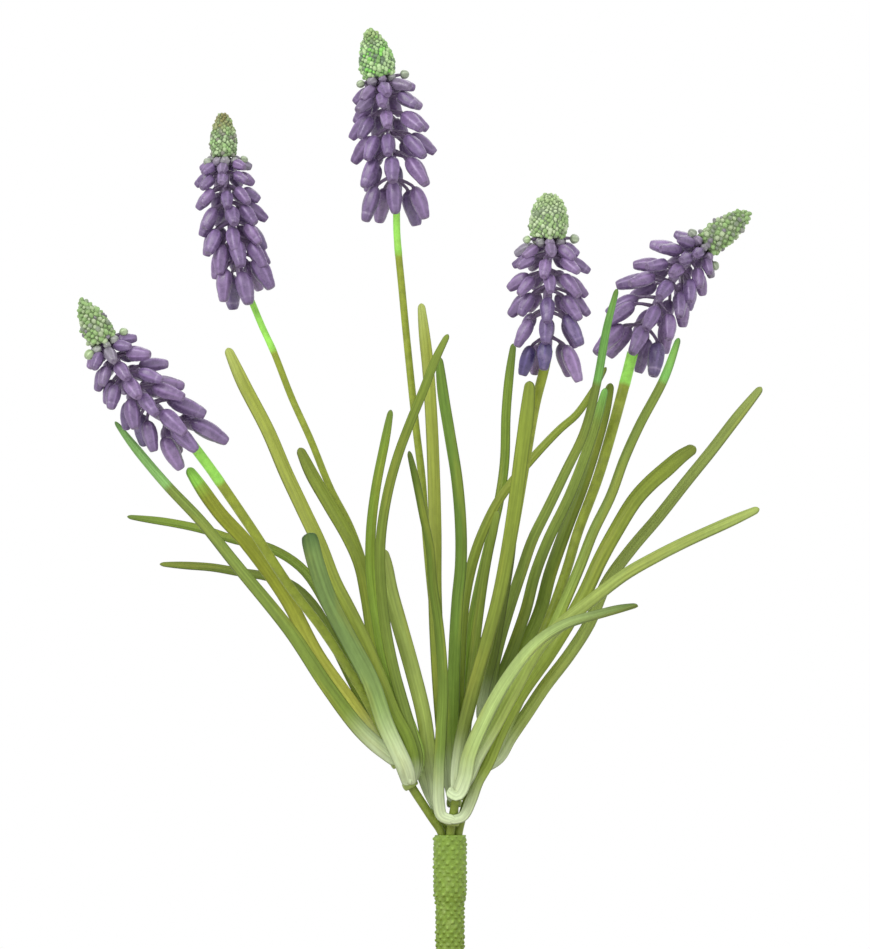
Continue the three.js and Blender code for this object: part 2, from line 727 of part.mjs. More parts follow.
/** A head's middle line, from under its tip down to its lowest florets, bent in line with the tip. */
function headLine(head) {
  const [apex, top, low] = [head.apex, head.top, head.low].map(place);
  const reach = HEAD.bend * top.distanceTo(low);
  const middle = top.clone().addScaledVector(top.clone().sub(apex).normalize(), reach);
  return new THREE.QuadraticBezierCurve3(top, middle, low);
}

/** The direction that leaves the line at `turn` round it, and falls by `droop`; both in radians. */
function spoke(axis, turn, droop) {
  const [u, v] = sidesOf(axis);
  const out = u.multiplyScalar(Math.cos(turn)).addScaledVector(v, Math.sin(turn));
  return out.multiplyScalar(Math.cos(droop)).addScaledVector(axis, -Math.sin(droop));
}

/** A floret on its bent pedicel: a round belly and a narrower flat mouth. */
function floretGeometry(head, row, column) {
  const { around, sides, pedicelDroop, pedicelRadius, bellyShare, mouthShare } = FLORET;
  const t = row / (head.rows - 1);
  const seed = row * 37 + column * 11;
  const sized = ([top, low, power]) => mix(top, low, t ** power);
  const either = (spread, draw) => spread * (chance(seed + draw) - 0.5);
  const share = sized([FLORET.firstShare, head.reach, FLORET.reachPower]);
  const axis = headLine(head).getTangent(share).negate();
  const turn = radians((360 * column) / around - 90 + either(FLORET.turnSpread, 0));
  const lean = sized([FLORET.topDroop, head.lowDroop, FLORET.droopPower]);
  const droop = radians(lean + either(FLORET.droopSpread, 2));
  const length = mix(...head.lengths, t) * (1 + either(FLORET.lengthSpread, 3));
  const flung = Math.max(0, head.fling * Math.cos(turn)) * Math.sqrt(t);
  const stand = mix(...head.stands, t) + FLORET.standSwell * Math.sin(Math.PI * t) + flung;
  const radius = FLORET.slimRadius + FLORET.radiusShare * length;
  const pedicel = spoke(axis, turn, droop * pedicelDroop);
  const along = spoke(axis, turn, droop);
  const root = headLine(head).getPoint(share).addScaledVector(pedicel, FLORET.bury);
  const shoulder = root.clone().addScaledVector(pedicel, stand - FLORET.bury);
  const level = (from, way, distance, r) => {
    const [u, v] = sidesOf(way);
    return ring(from.clone().addScaledVector(way, distance), u, v, r, sides, turn);
  };
  return loft([
    level(root, pedicel, 0, pedicelRadius),
    level(shoulder, pedicel, 0, pedicelRadius),
    level(shoulder, along, length * bellyShare, radius),
    level(shoulder, along, length, radius * mouthShare),
  ]);
}

/** A small bud: eight faces on a point at the middle of the rachis. */
function budGeometry(head, column) {
  const axis = headLine(head).getTangent(BUD.share).negate();
  const turn = radians((360 * (column + 0.5)) / BUD.around - 90);
  const way = spoke(axis, turn, radians(BUD.droop));
  const root = headLine(head).getPoint(BUD.share);
  const [u, v] = sidesOf(way);
  const widest = ring(root.clone().addScaledVector(way, BUD.stand), u, v, BUD.radius, BUD.sides);
  return loft([widest], root, root.clone().addScaledVector(way, BUD.reach));
}

function floretsSolid(name) {
  const head = HEADS[name];
  const line = headLine(head);
  const stations = [0, 0.2, 0.45, HEAD.rachisShare];
  const across = (u) => sidesOf(line.getTangent(u).negate());
  const station = (u) => ring(line.getPoint(u), ...across(u), HEAD.rachisRadius, 6);
  const rachis = loft(stations.map(station));
  const pieces = [rachis];
  for (let row = 0; row < head.rows; row++) {
    for (let column = 0; column < FLORET.around; column++) pieces.push(floretGeometry(head, row, column));
  }
  for (let column = 0; column < BUD.around; column++) pieces.push(budGeometry(head, column));
  return mainBody(fuse(pieces.map(solid)));
}

/** The tip's radius at a share of its height, as a share of its widest; a low `point` is sharper. */
function tipOutline(share, point) {
  if (share < TIP.waist) return Math.sqrt(1 - (TIP.tuck * (1 - share / TIP.waist)) ** 2);
  const above = (share - TIP.waist) / (TIP.crown - TIP.waist);
  return (1 - above ** point) ** (1 / Math.min(point, 2));
}

/** The green tip: a beaded egg whose beads are raised by a chequer of radii. */
function tipGeometry(head) {
  const base = place(head.top);
  const axis = place(head.apex).sub(base);
  const height = axis.length() - GAP;
  axis.normalize();
  base.addScaledVector(axis, GAP);
  const [u, v] = sidesOf(axis);
  const rings = [];
  for (let k = 0; k < TIP.rings; k++) {
    const w = k / TIP.rings;
    const body = head.tipRadius * tipOutline(w, head.tipPoint);
    const raised = (i) => body + ((i + k) % 2 ? TIP.raise : -TIP.sink);
    rings.push(ring(base.clone().addScaledVector(axis, w * height), u, v, raised, TIP.sides));
  }
  return loft(rings, base.clone(), base.clone().addScaledVector(axis, height));
}

// ---------------------------------------------------------------- the part

const finish = (color, roughness) => new THREE.MeshStandardMaterial({ color, roughness, metalness: 0 });
const CLAY = finish(0xb9714e, 0.85);
const EARTH = finish(0x3d2b20, 1);
const SLEEVE = finish(0x7f9b48, 0.55);
const STALK = finish(0x92a040, 0.45);
const LEAF_GREEN = finish(0x7c9742, 0.42);
const PURPLE = finish(0x6b4f83, 0.5);
const BUD_GREEN = finish(0x97b37a, 0.55);

const plant = new THREE.Group();

function add(name, geometry, material, parent = plant) {
  const mesh = new THREE.Mesh(geometry, material);
  mesh.name = name;
  parent.add(mesh);
}

add("pot", geometryOf(solid(potGeometry())), CLAY);
add("soil", soilGeometry(), EARTH);
add("main_stem", stemGeometry(), SLEEVE);

for (const [name, stalk] of Object.entries(STALKS)) {
  const flower = new THREE.Group();
  plant.add(flower);
  add(`stalk_${name}`, rodGeometry(stalkPoints(name), stalk.radius, ROD.sides, ROD.steps), STALK, flower);
  add(`florets_${name}`, geometryOf(floretsSolid(name)), PURPLE, flower);
  add(`tip_${name}`, tipGeometry(HEADS[name]), BUD_GREEN, flower);
}

for (const [name, tuft] of Object.entries(TUFTS)) {
  add(`leaf_tuft_${name}`, geometryOf(tuftSolid(tuft)), LEAF_GREEN);
}

export default plant;
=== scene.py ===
"""The looks of an artificial grape hyacinth spray that stands in a clay pot of soil.

Each sub-assembly is a class that holds its sizes, builds a finer mesh in the place of its
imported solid, and dresses it in its finish.  Sizes and routes are written in millimetres,
and every mesh is made in metres.  +Z is up, -Y is the front, +X is the right.
"""

import logging
import math
from collections.abc import Sequence
from dataclasses import dataclass, field
from enum import Enum

import bpy
import numpy as np
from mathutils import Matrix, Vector
from numpy.typing import NDArray


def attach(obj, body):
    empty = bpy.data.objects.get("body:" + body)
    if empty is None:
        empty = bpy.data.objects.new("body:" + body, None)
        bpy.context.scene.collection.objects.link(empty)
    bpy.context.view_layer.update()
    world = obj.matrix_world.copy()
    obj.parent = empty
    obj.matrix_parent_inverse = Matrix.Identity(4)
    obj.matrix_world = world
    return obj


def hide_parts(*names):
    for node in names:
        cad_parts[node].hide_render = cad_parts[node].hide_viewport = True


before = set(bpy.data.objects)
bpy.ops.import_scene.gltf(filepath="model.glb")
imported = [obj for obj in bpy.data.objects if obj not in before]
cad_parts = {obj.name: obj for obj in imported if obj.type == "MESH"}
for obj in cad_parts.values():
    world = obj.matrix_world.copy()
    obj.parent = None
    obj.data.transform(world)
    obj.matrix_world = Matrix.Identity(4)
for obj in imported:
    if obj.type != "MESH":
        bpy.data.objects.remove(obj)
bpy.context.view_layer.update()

log = logging.getLogger("grape_hyacinth")

Array = NDArray[np.float64]
Number = float | Array
Pair = tuple[float, float]
Triple = tuple[float, float, float]
Shell = tuple[Array, list[list[int]]]  # points in millimetres, and faces of their numbers
Socket = bpy.types.NodeSocket

MM = 0.001  # one millimetre in the scene's metres
BODY = "root"
TO_RIGHT = np.array([1.0, 0.0, 0.0])
TO_BACK = np.array([0.0, 1.0, 0.0])
TO_FRONT = np.array([0.0, -1.0, 0.0])
CLOUDY = (0.3, 0.7)  # what nearly all of a cloudy noise's values lie between
WAVE = (-1.0, 1.0)  # what a sine runs between


# ------------ numbers and curves


def mix(start: Number, end: Number, share: Number) -> Number:
    """Blend from start, at share 0, to end, at share 1."""
    return start + (end - start) * share


def ease(value: Number, low: float, high: float) -> Number:
    """Rise smoothly from 0, where the value is low or less, to 1, where it is high or more."""
    share = np.clip((value - low) / (high - low), 0.0, 1.0)
    return share * share * (3.0 - 2.0 * share)


def chance(seed: float) -> float:
    """Draw the repeatable number, 0 to 1, that belongs to a seed.

    Args:
        seed: Any number.

    Returns:
        The same draw every time for the same seed.
    """
    stride, start, height = 12.9898, 4.1, 43758.5453
    wave = math.sin(seed * stride + start) * height
    return wave - math.floor(wave)


def spare(seed: float, width: float) -> float:
    """Draw a small irregularity, up to half the width to either side of nothing."""
    return width * (chance(seed) - 0.5)


def angles(count: int) -> Array:
    """So many even angles round a full turn."""
    return np.linspace(0.0, math.tau, count, endpoint=False)


def unit(vectors: Array) -> Array:
    """Scale vectors, along the last axis, to length one."""
    return vectors / np.linalg.norm(vectors, axis=-1, keepdims=True)


def sides_of(axis: Array) -> tuple[Array, Array]:
    """Two unit vectors square to a near upright axis: one leans right, the other to the back."""
    right = unit(np.cross(axis, TO_FRONT))
    return right, unit(np.cross(axis, right))


@dataclass(frozen=True)
class Opening:
    """How the spray opens to the front and back as it rises, in millimetres of height."""

    start: float = 136.0
    full: float = 215.0
    times: float = 1.55

    def place(self, points: Sequence[Triple]) -> Array:
        """Open listed places of the spray: their depths widen with their height.

        Args:
            points: Places in millimetres.

        Returns:
            The opened places.
        """
        placed = np.array(points, dtype=float)
        placed[:, 1] *= mix(1.0, self.times, ease(placed[:, 2], self.start, self.full))
        return placed


class Route:
    """A smooth line through chosen points, read by the share of its length."""

    DIVISIONS = 200
    FINE_DIVISIONS = 2000
    NUDGE = 0.0001

    def __init__(self, points: Array) -> None:
        """Lay the line and measure it.

        Args:
            points: The places that the line passes, in millimetres.
        """
        first = 2 * points[0] - points[1]
        last = 2 * points[-1] - points[-2]
        self.points = np.vstack([first, points, last])
        self.spans = len(points) - 1
        self.steps = np.linspace(0.0, 1.0, self.DIVISIONS + 1)
        walk = np.linalg.norm(np.diff(self._at_step(self.steps), axis=0), axis=1)
        self.lengths = np.concatenate([[0.0], np.cumsum(walk)])
        self.length = float(self.lengths[-1])

    def at(self, share: Array) -> Array:
        """Places in millimetres at shares of the length."""
        return self._at_step(self._step(share))

    def heading(self, share: Array) -> Array:
        """Directions at shares of the length.

        Args:
            share: Shares from 0 to 1.

        Returns:
            One unit vector for each share, pointing onward.
        """
        step = self._step(share)
        before = self._at_step(np.maximum(step - self.NUDGE, 0.0))
        after = self._at_step(np.minimum(step + self.NUDGE, 1.0))
        return unit(after - before)

    def share_at_height(self, height: float) -> float:
        """The share of the length at which a rising line reaches a height in millimetres."""
        share = np.linspace(0.0, 1.0, self.FINE_DIVISIONS + 1)
        return float(np.interp(height, self.at(share)[:, 2], share))

    def _step(self, share: Array) -> Array:
        """The even steps of the line's points that shares of its length fall on."""
        return np.interp(share * self.length, self.lengths, self.steps)

    def _at_step(self, step: Array) -> Array:
        """Places on the centripetal spline at even steps of its points.

        Args:
            step: Steps from 0 at the first point to 1 at the last.

        Returns:
            One place in millimetres for each step.
        """
        position = np.asarray(step) * self.spans
        span = np.minimum(position.astype(int), self.spans - 1)
        rest = (position - span)[:, None]
        before, here, there, beyond = (self.points[span + k] for k in range(4))
        pairs = ((before, here), (here, there), (there, beyond))
        gaps = [np.sqrt(np.linalg.norm(end - start, axis=1))[:, None] for start, end in pairs]
        leave = self._tangent((before, here, there), gaps[:2]) * gaps[1]
        reach = self._tangent((here, there, beyond), gaps[1:]) * gaps[1]
        square = -3 * here + 3 * there - 2 * leave - reach
        cube = 2 * here - 2 * there + leave + reach
        return here + leave * rest + square * rest**2 + cube * rest**3

    @staticmethod
    def _tangent(points: Sequence[Array], gaps: Sequence[Array]) -> Array:
        """The line's direction at the middle one of three points with two gaps between them."""
        one, two, three = points
        return (two - one) / gaps[0] - (three - one) / (gaps[0] + gaps[1]) + (three - two) / gaps[1]


# ------------ paint and shells


@dataclass(frozen=True)
class Paint:
    """A colour: red, green and blue from 0 to 255."""

    red: float
    green: float
    blue: float

    def linear(self) -> Array:
        """The colour as linear light, 0 to 1, for the shaders, by the usual curve of screens."""
        value = np.array([self.red, self.green, self.blue]) / 255.0
        return np.where(value <= 0.04045, value / 12.92, ((value + 0.055) / 1.055) ** 2.4)

    def toward(self, other: "Paint", share: Number) -> Array:
        """The linear colour, or colours, some share of the way to another paint."""
        return mix(self.linear(), other.linear(), share)


class Shells:
    """Closed shells gathered into one piece, each point with its paint and its place."""

    def __init__(self) -> None:
        """Start with nothing gathered."""
        self.points: list[Array] = []
        self.faces: list[list[int]] = []
        self.tints: list[Array] = []
        self.places: list[Array] = []
        self.count = 0

    def add(self, shell: Shell, tint: Array, place: Array | None = None) -> None:
        """Add one closed shell, turned to face out.

        Args:
            shell: Its points and faces.
            tint: One linear colour, or one for each point.
            place: For each point its place on the shell, for the grain of the finish.
        """
        points, faces = shell
        if self._volume(shell) < 0:
            faces = [face[::-1] for face in faces]
        self.points.append(points)
        self.faces += [[corner + self.count for corner in face] for face in faces]
        self.tints.append(np.broadcast_to(tint, (len(points), 3)))
        self.places.append(np.zeros((len(points), 3)) if place is None else place)
        self.count += len(points)

    @staticmethod
    def _volume(shell: Shell) -> float:
        """Work out six times a shell's volume.

        Args:
            shell: Its points and faces.

        Returns:
            A positive number when the faces turn outwards.
        """
        points, faces = shell
        corners = points - points.mean(axis=0)
        fans = [(face[0], face[k], face[k + 1]) for face in faces for k in range(1, len(face) - 1)]
        first, second, third = (corners[[fan[k] for fan in fans]] for k in range(3))
        return float(np.einsum("ij,ij->", first, np.cross(second, third)))

    def piece(self, name: str) -> bpy.types.Object:
        """Make the gathered shells one object, in metres.

        Args:
            name: The object's name.

        Returns:
            The smooth-shaded object with its paint and place attributes.
        """
        mesh = bpy.data.meshes.new(name)
        mesh.from_pydata((np.vstack(self.points) * MM).tolist(), [], self.faces)
        mesh.polygons.foreach_set("use_smooth", [True] * len(mesh.polygons))
        tints = np.hstack([np.vstack(self.tints), np.ones((self.count, 1))])
        mesh.attributes.new("tint", "FLOAT_COLOR", "POINT").data.foreach_set("color", tints.ravel())
        places = np.vstack(self.places)
        mesh.attributes.new("place", "FLOAT_VECTOR", "POINT").data.foreach_set("vector", places.ravel())
        mesh.update()
        piece = bpy.data.objects.new(name, mesh)
        bpy.context.scene.collection.objects.link(piece)
        return piece


def loft(rings: Array, start: Array | None = None, end: Array | None = None) -> Shell:
    """Skin a row of rings into a closed shell with a fan at each end.

    Args:
        rings: Points by ring and by side.
        start: The middle of the first fan; by default the first ring's own middle.
        end: The middle of the last fan; by default the last ring's own middle.

    Returns:
        The shell's points and faces.
    """
    count, sides = rings.shape[:2]
    first = rings[0].mean(axis=0) if start is None else start
    last = rings[-1].mean(axis=0) if end is None else end
    points = np.vstack([rings.reshape(-1, 3), first, last])
    side = np.arange(sides)
    after = (side + 1) % sides
    low = (np.arange(count - 1) * sides)[:, None]
    quads = np.stack([low + side, low + after, low + sides + after, low + sides + side], axis=-1)
    foot, head = count * sides, count * sides + 1
    top = (count - 1) * sides
    faces = quads.reshape(-1, 4).tolist()
    faces += np.stack([np.full(sides, foot), after, side], axis=-1).tolist()
    faces += np.stack([np.full(sides, head), top + side, top + after], axis=-1).tolist()
    return points, faces


def rings_round(centres: Array, right: Array, back: Array, radii: Array) -> Array:
    """Place rings of points round centres.

    Args:
        centres: One centre for each ring.
        right: The first unit vector of each ring's plane, or one for all of them.
        back: The second unit vector of each ring's plane, or one for all of them.
        radii: Radii by ring, or by ring and side.

    Returns:
        Points by ring and by side.
    """
    angle = angles(radii.shape[1])[None, :, None]
    across = np.cos(angle) * right.reshape(-1, 1, 3) + np.sin(angle) * back.reshape(-1, 1, 3)
    return centres[:, None, :] + radii[:, :, None] * across


def level_rings(heights: Array, radii: Array) -> Array:
    """Place level rings round the vertical axis, with a height each, and radii by ring and side."""
    centres = np.stack([np.zeros(len(heights)), np.zeros(len(heights)), heights], axis=-1)
    return rings_round(centres, TO_RIGHT, TO_BACK, radii)


def round_radii(radii: Array, sides: int) -> Array:
    """Give every side of a ring the ring's own radius, as an array by ring and side."""
    return np.repeat(radii[:, None], sides, axis=1)


def revolve(outline: Sequence[Pair], sides: int) -> Shell:
    """Turn an outline round the vertical axis.

    Args:
        outline: Pairs of radius and height, from the axis to the axis.
        sides: How many sides the turned form has.

    Returns:
        The shell's points and faces.
    """
    profile = np.array(outline, dtype=float)
    rings = level_rings(profile[1:-1, 1], round_radii(profile[1:-1, 0], sides))
    ends = np.zeros((2, 3))
    ends[:, 2] = profile[[0, -1], 1]
    return loft(rings, ends[0], ends[1])


def ball(sides: int, rows: int) -> Shell:
    """The points and faces of a round lump of radius one, with rows of rings between its poles."""
    lift = np.linspace(-1.0, 1.0, rows + 2) * math.pi / 2
    return revolve([(math.cos(angle), math.sin(angle)) for angle in lift], sides)


def over_shell(tint: Array, factor: Array) -> Array:
    """Spread the rings' tints, times a factor by ring and side, over a lofted shell's points."""
    tints = tint[:, None, :] * factor[:, :, None]
    return np.vstack([tints.reshape(-1, 3), tint[:1], tint[-1:]])


# ------------ finishes


class Bench:
    """A material being mixed: its nodes, and short ways to add and join them."""

    def __init__(self, name: str) -> None:
        """Open a new material with its shader.

        Args:
            name: The material's name.
        """
        self.material = bpy.data.materials.new(name)
        self.material.use_nodes = True
        self.tree = self.material.node_tree
        self.shader = self.tree.nodes["Principled BSDF"]

    def join(self, source: object, target: Socket) -> None:
        """Feed a socket from another socket, or set it to a value.

        Args:
            source: The socket or the plain value.
            target: The input that takes it.
        """
        if isinstance(source, Socket):
            self.tree.links.new(source, target)
        else:
            target.default_value = source

    def fed(self, kind: str, feeds: dict[str | int, object], output: str | int, **settings: str) -> Socket:
        """Add a node and feed its inputs.

        Args:
            kind: The node's type, without its ShaderNode prefix.
            feeds: The socket or plain value for each input, by name or number.
            output: The output that is wanted, by name or number.
            **settings: Properties to set on the node.

        Returns:
            The wanted output.
        """
        made = self.tree.nodes.new(f"ShaderNode{kind}")
        for setting, value in settings.items():
            setattr(made, setting, value)
        for name, source in feeds.items():
            self.join(source, made.inputs[name])
        return made.outputs[output]

    def paint(self) -> Socket:
        """The colour that the piece's points carry."""
        return self.fed("Attribute", {}, "Color", attribute_name="tint")

    def place(self) -> Socket:
        """The place on the shell that the piece's points carry."""
        return self.fed("Attribute", {}, "Vector", attribute_name="place")

    def spot(self) -> Socket:
        """The point of the object itself, in metres."""
        return self.fed("TexCoord", {}, "Object")

    def part(self, vector: Socket, axis: str) -> Socket:
        """One number of a vector: its X, Y or Z."""
        return self.fed("SeparateXYZ", {0: vector}, axis)

    def scaled(self, vector: Socket, scale: Triple) -> Socket:
        """The vector stretched by a factor on each axis."""
        return self.fed("VectorMath", {0: vector, 1: scale}, "Vector", operation="MULTIPLY")

    def noise(self, vector: Socket, scale: float, detail: float = 2.0) -> Socket:
        """Cloudy noise round 0.5, of some fineness, with some finer layers of detail."""
        return self.fed("TexNoise", {"Vector": vector, "Scale": scale, "Detail": detail}, "Fac")

    def spread(self, value: Socket, to: Pair, over: Pair = CLOUDY) -> Socket:
        """The value mapped smoothly from the range it is read over to another, held at its ends."""
        feeds = {"Value": value, "From Min": over[0], "From Max": over[1], "To Min": to[0], "To Max": to[1]}
        return self.fed("MapRange", feeds, "Result", interpolation_type="SMOOTHSTEP")

    def sum(self, kind: str, first: Socket | float, second: Socket | float = 0.0) -> Socket:
        """The answer of one sum, such as MULTIPLY."""
        return self.fed("Math", {0: first, 1: second}, "Value", operation=kind)

    def shade(self, color: Socket, factor: Socket) -> Socket:
        """The colour made lighter or darker by a factor."""
        return self.fed("VectorMath", {0: color, "Scale": factor}, "Vector", operation="SCALE")

    def toward(self, color: Socket, other: Paint, share: Socket) -> Socket:
        """The colour turned some share towards a paint, by a Mix node's numbered colour sockets."""
        return self.fed("Mix", {0: share, 6: color, 7: (*other.linear(), 1.0)}, 2, data_type="RGBA")

    def relief(self, *layers: tuple[Socket, float]) -> None:
        """Raise the surface by layers of height, and give the result to the shader.

        Args:
            *layers: Pairs of height value and depth in millimetres.
        """
        normal = {}
        for height, depth in layers:
            feeds = {"Distance": depth * MM, "Height": height, **normal}
            normal = {"Normal": self.fed("Bump", feeds, "Normal")}
        self.join(normal["Normal"], self.shader.inputs["Normal"])

    def finish(self, color: Socket, roughness: Socket, shine: float = 0.5) -> bpy.types.Material:
        """Give the shader its colour, roughness and shine, and close the material.

        Args:
            color: The surface colour.
            roughness: The roughness.
            shine: How strongly the surface mirrors, 0.5 for bare matter.

        Returns:
            The finished material.
        """
        self.join(color, self.shader.inputs["Base Color"])
        self.join(roughness, self.shader.inputs["Roughness"])
        self.join(shine, self.shader.inputs["Specular IOR Level"])
        return self.material


@dataclass(frozen=True)
class RibbedLeafPlastic:
    """Soft moulded strap: faint ribs along it, worn streaks, olive patches, and darker edges that are partly
    its moulded rim and partly painted shade.
    """

    name: str = "ribbed_leaf_plastic"
    slot: str = "leaf_green"
    ribs: float = 4.0
    rib_depth: float = 0.012
    rib_shade: Pair = (0.98, 1.02)
    streak_size: Triple = (3.2, 0.05, 7.3)
    streak_shade: Pair = (0.84, 1.17)
    patch: Paint = Paint(158, 160, 62)
    patch_size: Triple = (0.5, 0.045, 3.1)
    patch_from: Pair = (0.5, 0.72)
    patch_share: float = 0.30
    grain_size: Triple = (1.0, 1.0, 0.4)
    grain_scale: float = 900.0
    grain_depth: float = 0.03
    grain_shade: Pair = (0.96, 1.04)
    edge_from: Pair = (0.8, 1.0)
    edge_shade: float = 0.66
    roughness: Pair = (0.36, 0.52)
    shine: float = 0.18

    def material(self) -> bpy.types.Material:
        """Mix the finish.

        Returns:
            The material, which reads place as across (-1 to 1), millimetres along, and leaf.
        """
        bench = Bench(self.name)
        place = bench.place()
        across = bench.part(place, "X")
        streak = bench.noise(bench.scaled(place, self.streak_size), 1.0, detail=4.0)
        patches = bench.noise(bench.scaled(place, self.patch_size), 1.0, detail=3.0)
        grain = bench.noise(bench.scaled(bench.spot(), self.grain_size), self.grain_scale)
        ribs = bench.sum("SINE", bench.sum("MULTIPLY", across, self.ribs * math.pi))
        patched = bench.spread(patches, (0.0, self.patch_share), self.patch_from)
        color = bench.toward(bench.paint(), self.patch, patched)
        color = bench.shade(color, bench.spread(streak, self.streak_shade))
        color = bench.shade(color, bench.spread(ribs, self.rib_shade, WAVE))
        color = bench.shade(color, bench.spread(grain, self.grain_shade))
        # darker towards both edges: partly the moulded rim, partly painted shade where the edges turn from
        # the light and lie against other leaves
        side = bench.sum("ABSOLUTE", across)
        color = bench.shade(color, bench.spread(side, (1.0, self.edge_shade), self.edge_from))
        bench.relief((ribs, self.rib_depth), (grain, self.grain_depth))
        return bench.finish(color, bench.spread(streak, self.roughness), self.shine)


@dataclass(frozen=True)
class SatinPlastic:
    """Moulded plastic with a satin skin: cloudy tone, fine grain and a little wear."""

    name: str
    slot: str
    cloud_scale: float = 700.0
    cloud_shade: Pair = (0.86, 1.12)
    wear: Paint = Paint(172, 150, 190)
    wear_scale: float = 0.45
    wear_from: Pair = (0.52, 0.75)
    wear_share: float = 0.22
    grain_scale: float = 4200.0
    grain_shade: Pair = (0.95, 1.05)
    grain_depth: float = 0.03
    cloud_depth: float = 0.045
    roughness: Pair = (0.36, 0.54)
    shine: float = 0.3

    def material(self) -> bpy.types.Material:
        """Mix the finish.

        Returns:
            The material, which reads its colour from the piece's tint.
        """
        bench = Bench(self.name)
        spot = bench.spot()
        cloud = bench.noise(spot, self.cloud_scale, detail=3.0)
        wear = bench.noise(spot, self.cloud_scale * self.wear_scale, detail=4.0)
        grain = bench.noise(spot, self.grain_scale)
        color = bench.shade(bench.paint(), bench.spread(cloud, self.cloud_shade))
        worn = bench.spread(wear, (0.0, self.wear_share), self.wear_from)
        color = bench.toward(color, self.wear, worn)
        color = bench.shade(color, bench.spread(grain, self.grain_shade))
        bench.relief((grain, self.grain_depth), (cloud, self.cloud_depth))
        return bench.finish(color, bench.spread(cloud, self.roughness), self.shine)


@dataclass(frozen=True)
class TurnedClay:
    """Fired clay: turning lines round the wall, sandy grain, fire marks and a lime bloom."""

    name: str = "turned_clay"
    slot: str = "clay"
    fired: Paint = Paint(150, 82, 54)
    fired_from: Pair = (0.42, 0.7)
    fired_share: float = 0.55
    drift_size: Triple = (1.0, 1.0, 0.25)
    drift_scale: float = 34.0
    bloom: Paint = Paint(222, 196, 172)
    bloom_size: Triple = (1.0, 1.0, 2.2)
    bloom_scale: float = 58.0
    bloom_from: Pair = (0.5, 0.8)
    bloom_share: float = 0.34
    bloom_depth: float = 0.1
    sand_scale: float = 1500.0
    sand_from: Pair = (0.25, 0.75)
    sand_shade: Pair = (0.88, 1.12)
    sand_depth: float = 0.09
    ring_pitch: float = 0.9
    ring_drift: float = 9.0
    ring_shade: Pair = (0.97, 1.02)
    ring_depth: float = 0.05
    roughness: Pair = (0.78, 0.94)

    def material(self) -> bpy.types.Material:
        """Mix the finish.

        Returns:
            The material, which reads the point of the object.
        """
        bench = Bench(self.name)
        spot = bench.spot()
        drift = bench.noise(bench.scaled(spot, self.drift_size), self.drift_scale, detail=4.0)
        sand = bench.noise(spot, self.sand_scale, detail=3.0)
        bloom = bench.noise(bench.scaled(spot, self.bloom_size), self.bloom_scale, detail=6.0)
        turn = bench.sum("MULTIPLY", bench.part(spot, "Z"), math.tau / (self.ring_pitch * MM))
        rings = bench.sum("SINE", bench.sum("ADD", turn, bench.sum("MULTIPLY", drift, self.ring_drift)))
        fired = bench.spread(drift, (0.0, self.fired_share), self.fired_from)
        color = bench.toward(bench.paint(), self.fired, fired)
        color = bench.shade(color, bench.spread(sand, self.sand_shade, self.sand_from))
        bloomed = bench.spread(bloom, (0.0, self.bloom_share), self.bloom_from)
        color = bench.toward(color, self.bloom, bloomed)
        color = bench.shade(color, bench.spread(rings, self.ring_shade, WAVE))
        bench.relief((rings, self.ring_depth), (sand, self.sand_depth), (bloom, self.bloom_depth))
        return bench.finish(color, bench.spread(sand, self.roughness))


@dataclass(frozen=True)
class PottingMix:
    """Damp potting mix: dark crumbs with paler fibres and dusty high spots."""

    name: str = "potting_mix"
    slot: str = "potting_soil"
    crumb_scale: float = 620.0
    crumb_from: Pair = (0.3, 0.72)
    crumb_shade: Pair = (0.55, 1.4)
    crumb_depth: float = 0.5
    fibre: Paint = Paint(122, 92, 64)
    fibre_size: Triple = (1.0, 3.4, 1.0)
    fibre_scale: float = 420.0
    fibre_from: Pair = (0.6, 0.74)
    fibre_share: float = 0.55
    fibre_depth: float = 0.2
    roughness: Pair = (0.82, 0.98)

    def material(self) -> bpy.types.Material:
        """Mix the finish.

        Returns:
            The material, which reads its colour from the piece's tint.
        """
        bench = Bench(self.name)
        spot = bench.spot()
        crumb = bench.noise(spot, self.crumb_scale, detail=5.0)
        fibre = bench.noise(bench.scaled(spot, self.fibre_size), self.fibre_scale, detail=3.0)
        color = bench.shade(bench.paint(), bench.spread(crumb, self.crumb_shade, self.crumb_from))
        fibrous = bench.spread(fibre, (0.0, self.fibre_share), self.fibre_from)
        color = bench.toward(color, self.fibre, fibrous)
        bench.relief((crumb, self.crumb_depth), (fibre, self.fibre_depth))
        return bench.finish(color, bench.spread(crumb, self.roughness))


class Finish(Enum):
    """Every finish of the object, mixed once and shared by the pieces that wear it."""

    CLAY = TurnedClay()
    SOIL = PottingMix()
    LEAF = RibbedLeafPlastic()
    FLORET = SatinPlastic(
        "floret_plastic", "floret_purple", wear=Paint(166, 146, 184), wear_share=0.35,
        roughness=(0.22, 0.4), shine=0.6,
    )
    BUD = SatinPlastic(
        "bud_plastic", "bud_green", cloud_scale=1500.0, wear=Paint(196, 214, 160), wear_share=0.3,
    )
    SLEEVE = SatinPlastic(
        "sleeve_plastic", "sleeve_green", cloud_scale=900.0, wear=Paint(178, 200, 120), wear_share=0.35,
    )
    STALK = SatinPlastic(
        "stalk_plastic", "stalk_green", cloud_scale=500.0, wear=Paint(176, 184, 96), wear_share=0.2,
    )

    def material(self) -> bpy.types.Material:
        """The mixed material, made on first use."""
        return bpy.data.materials.get(self.value.name) or self.value.material()


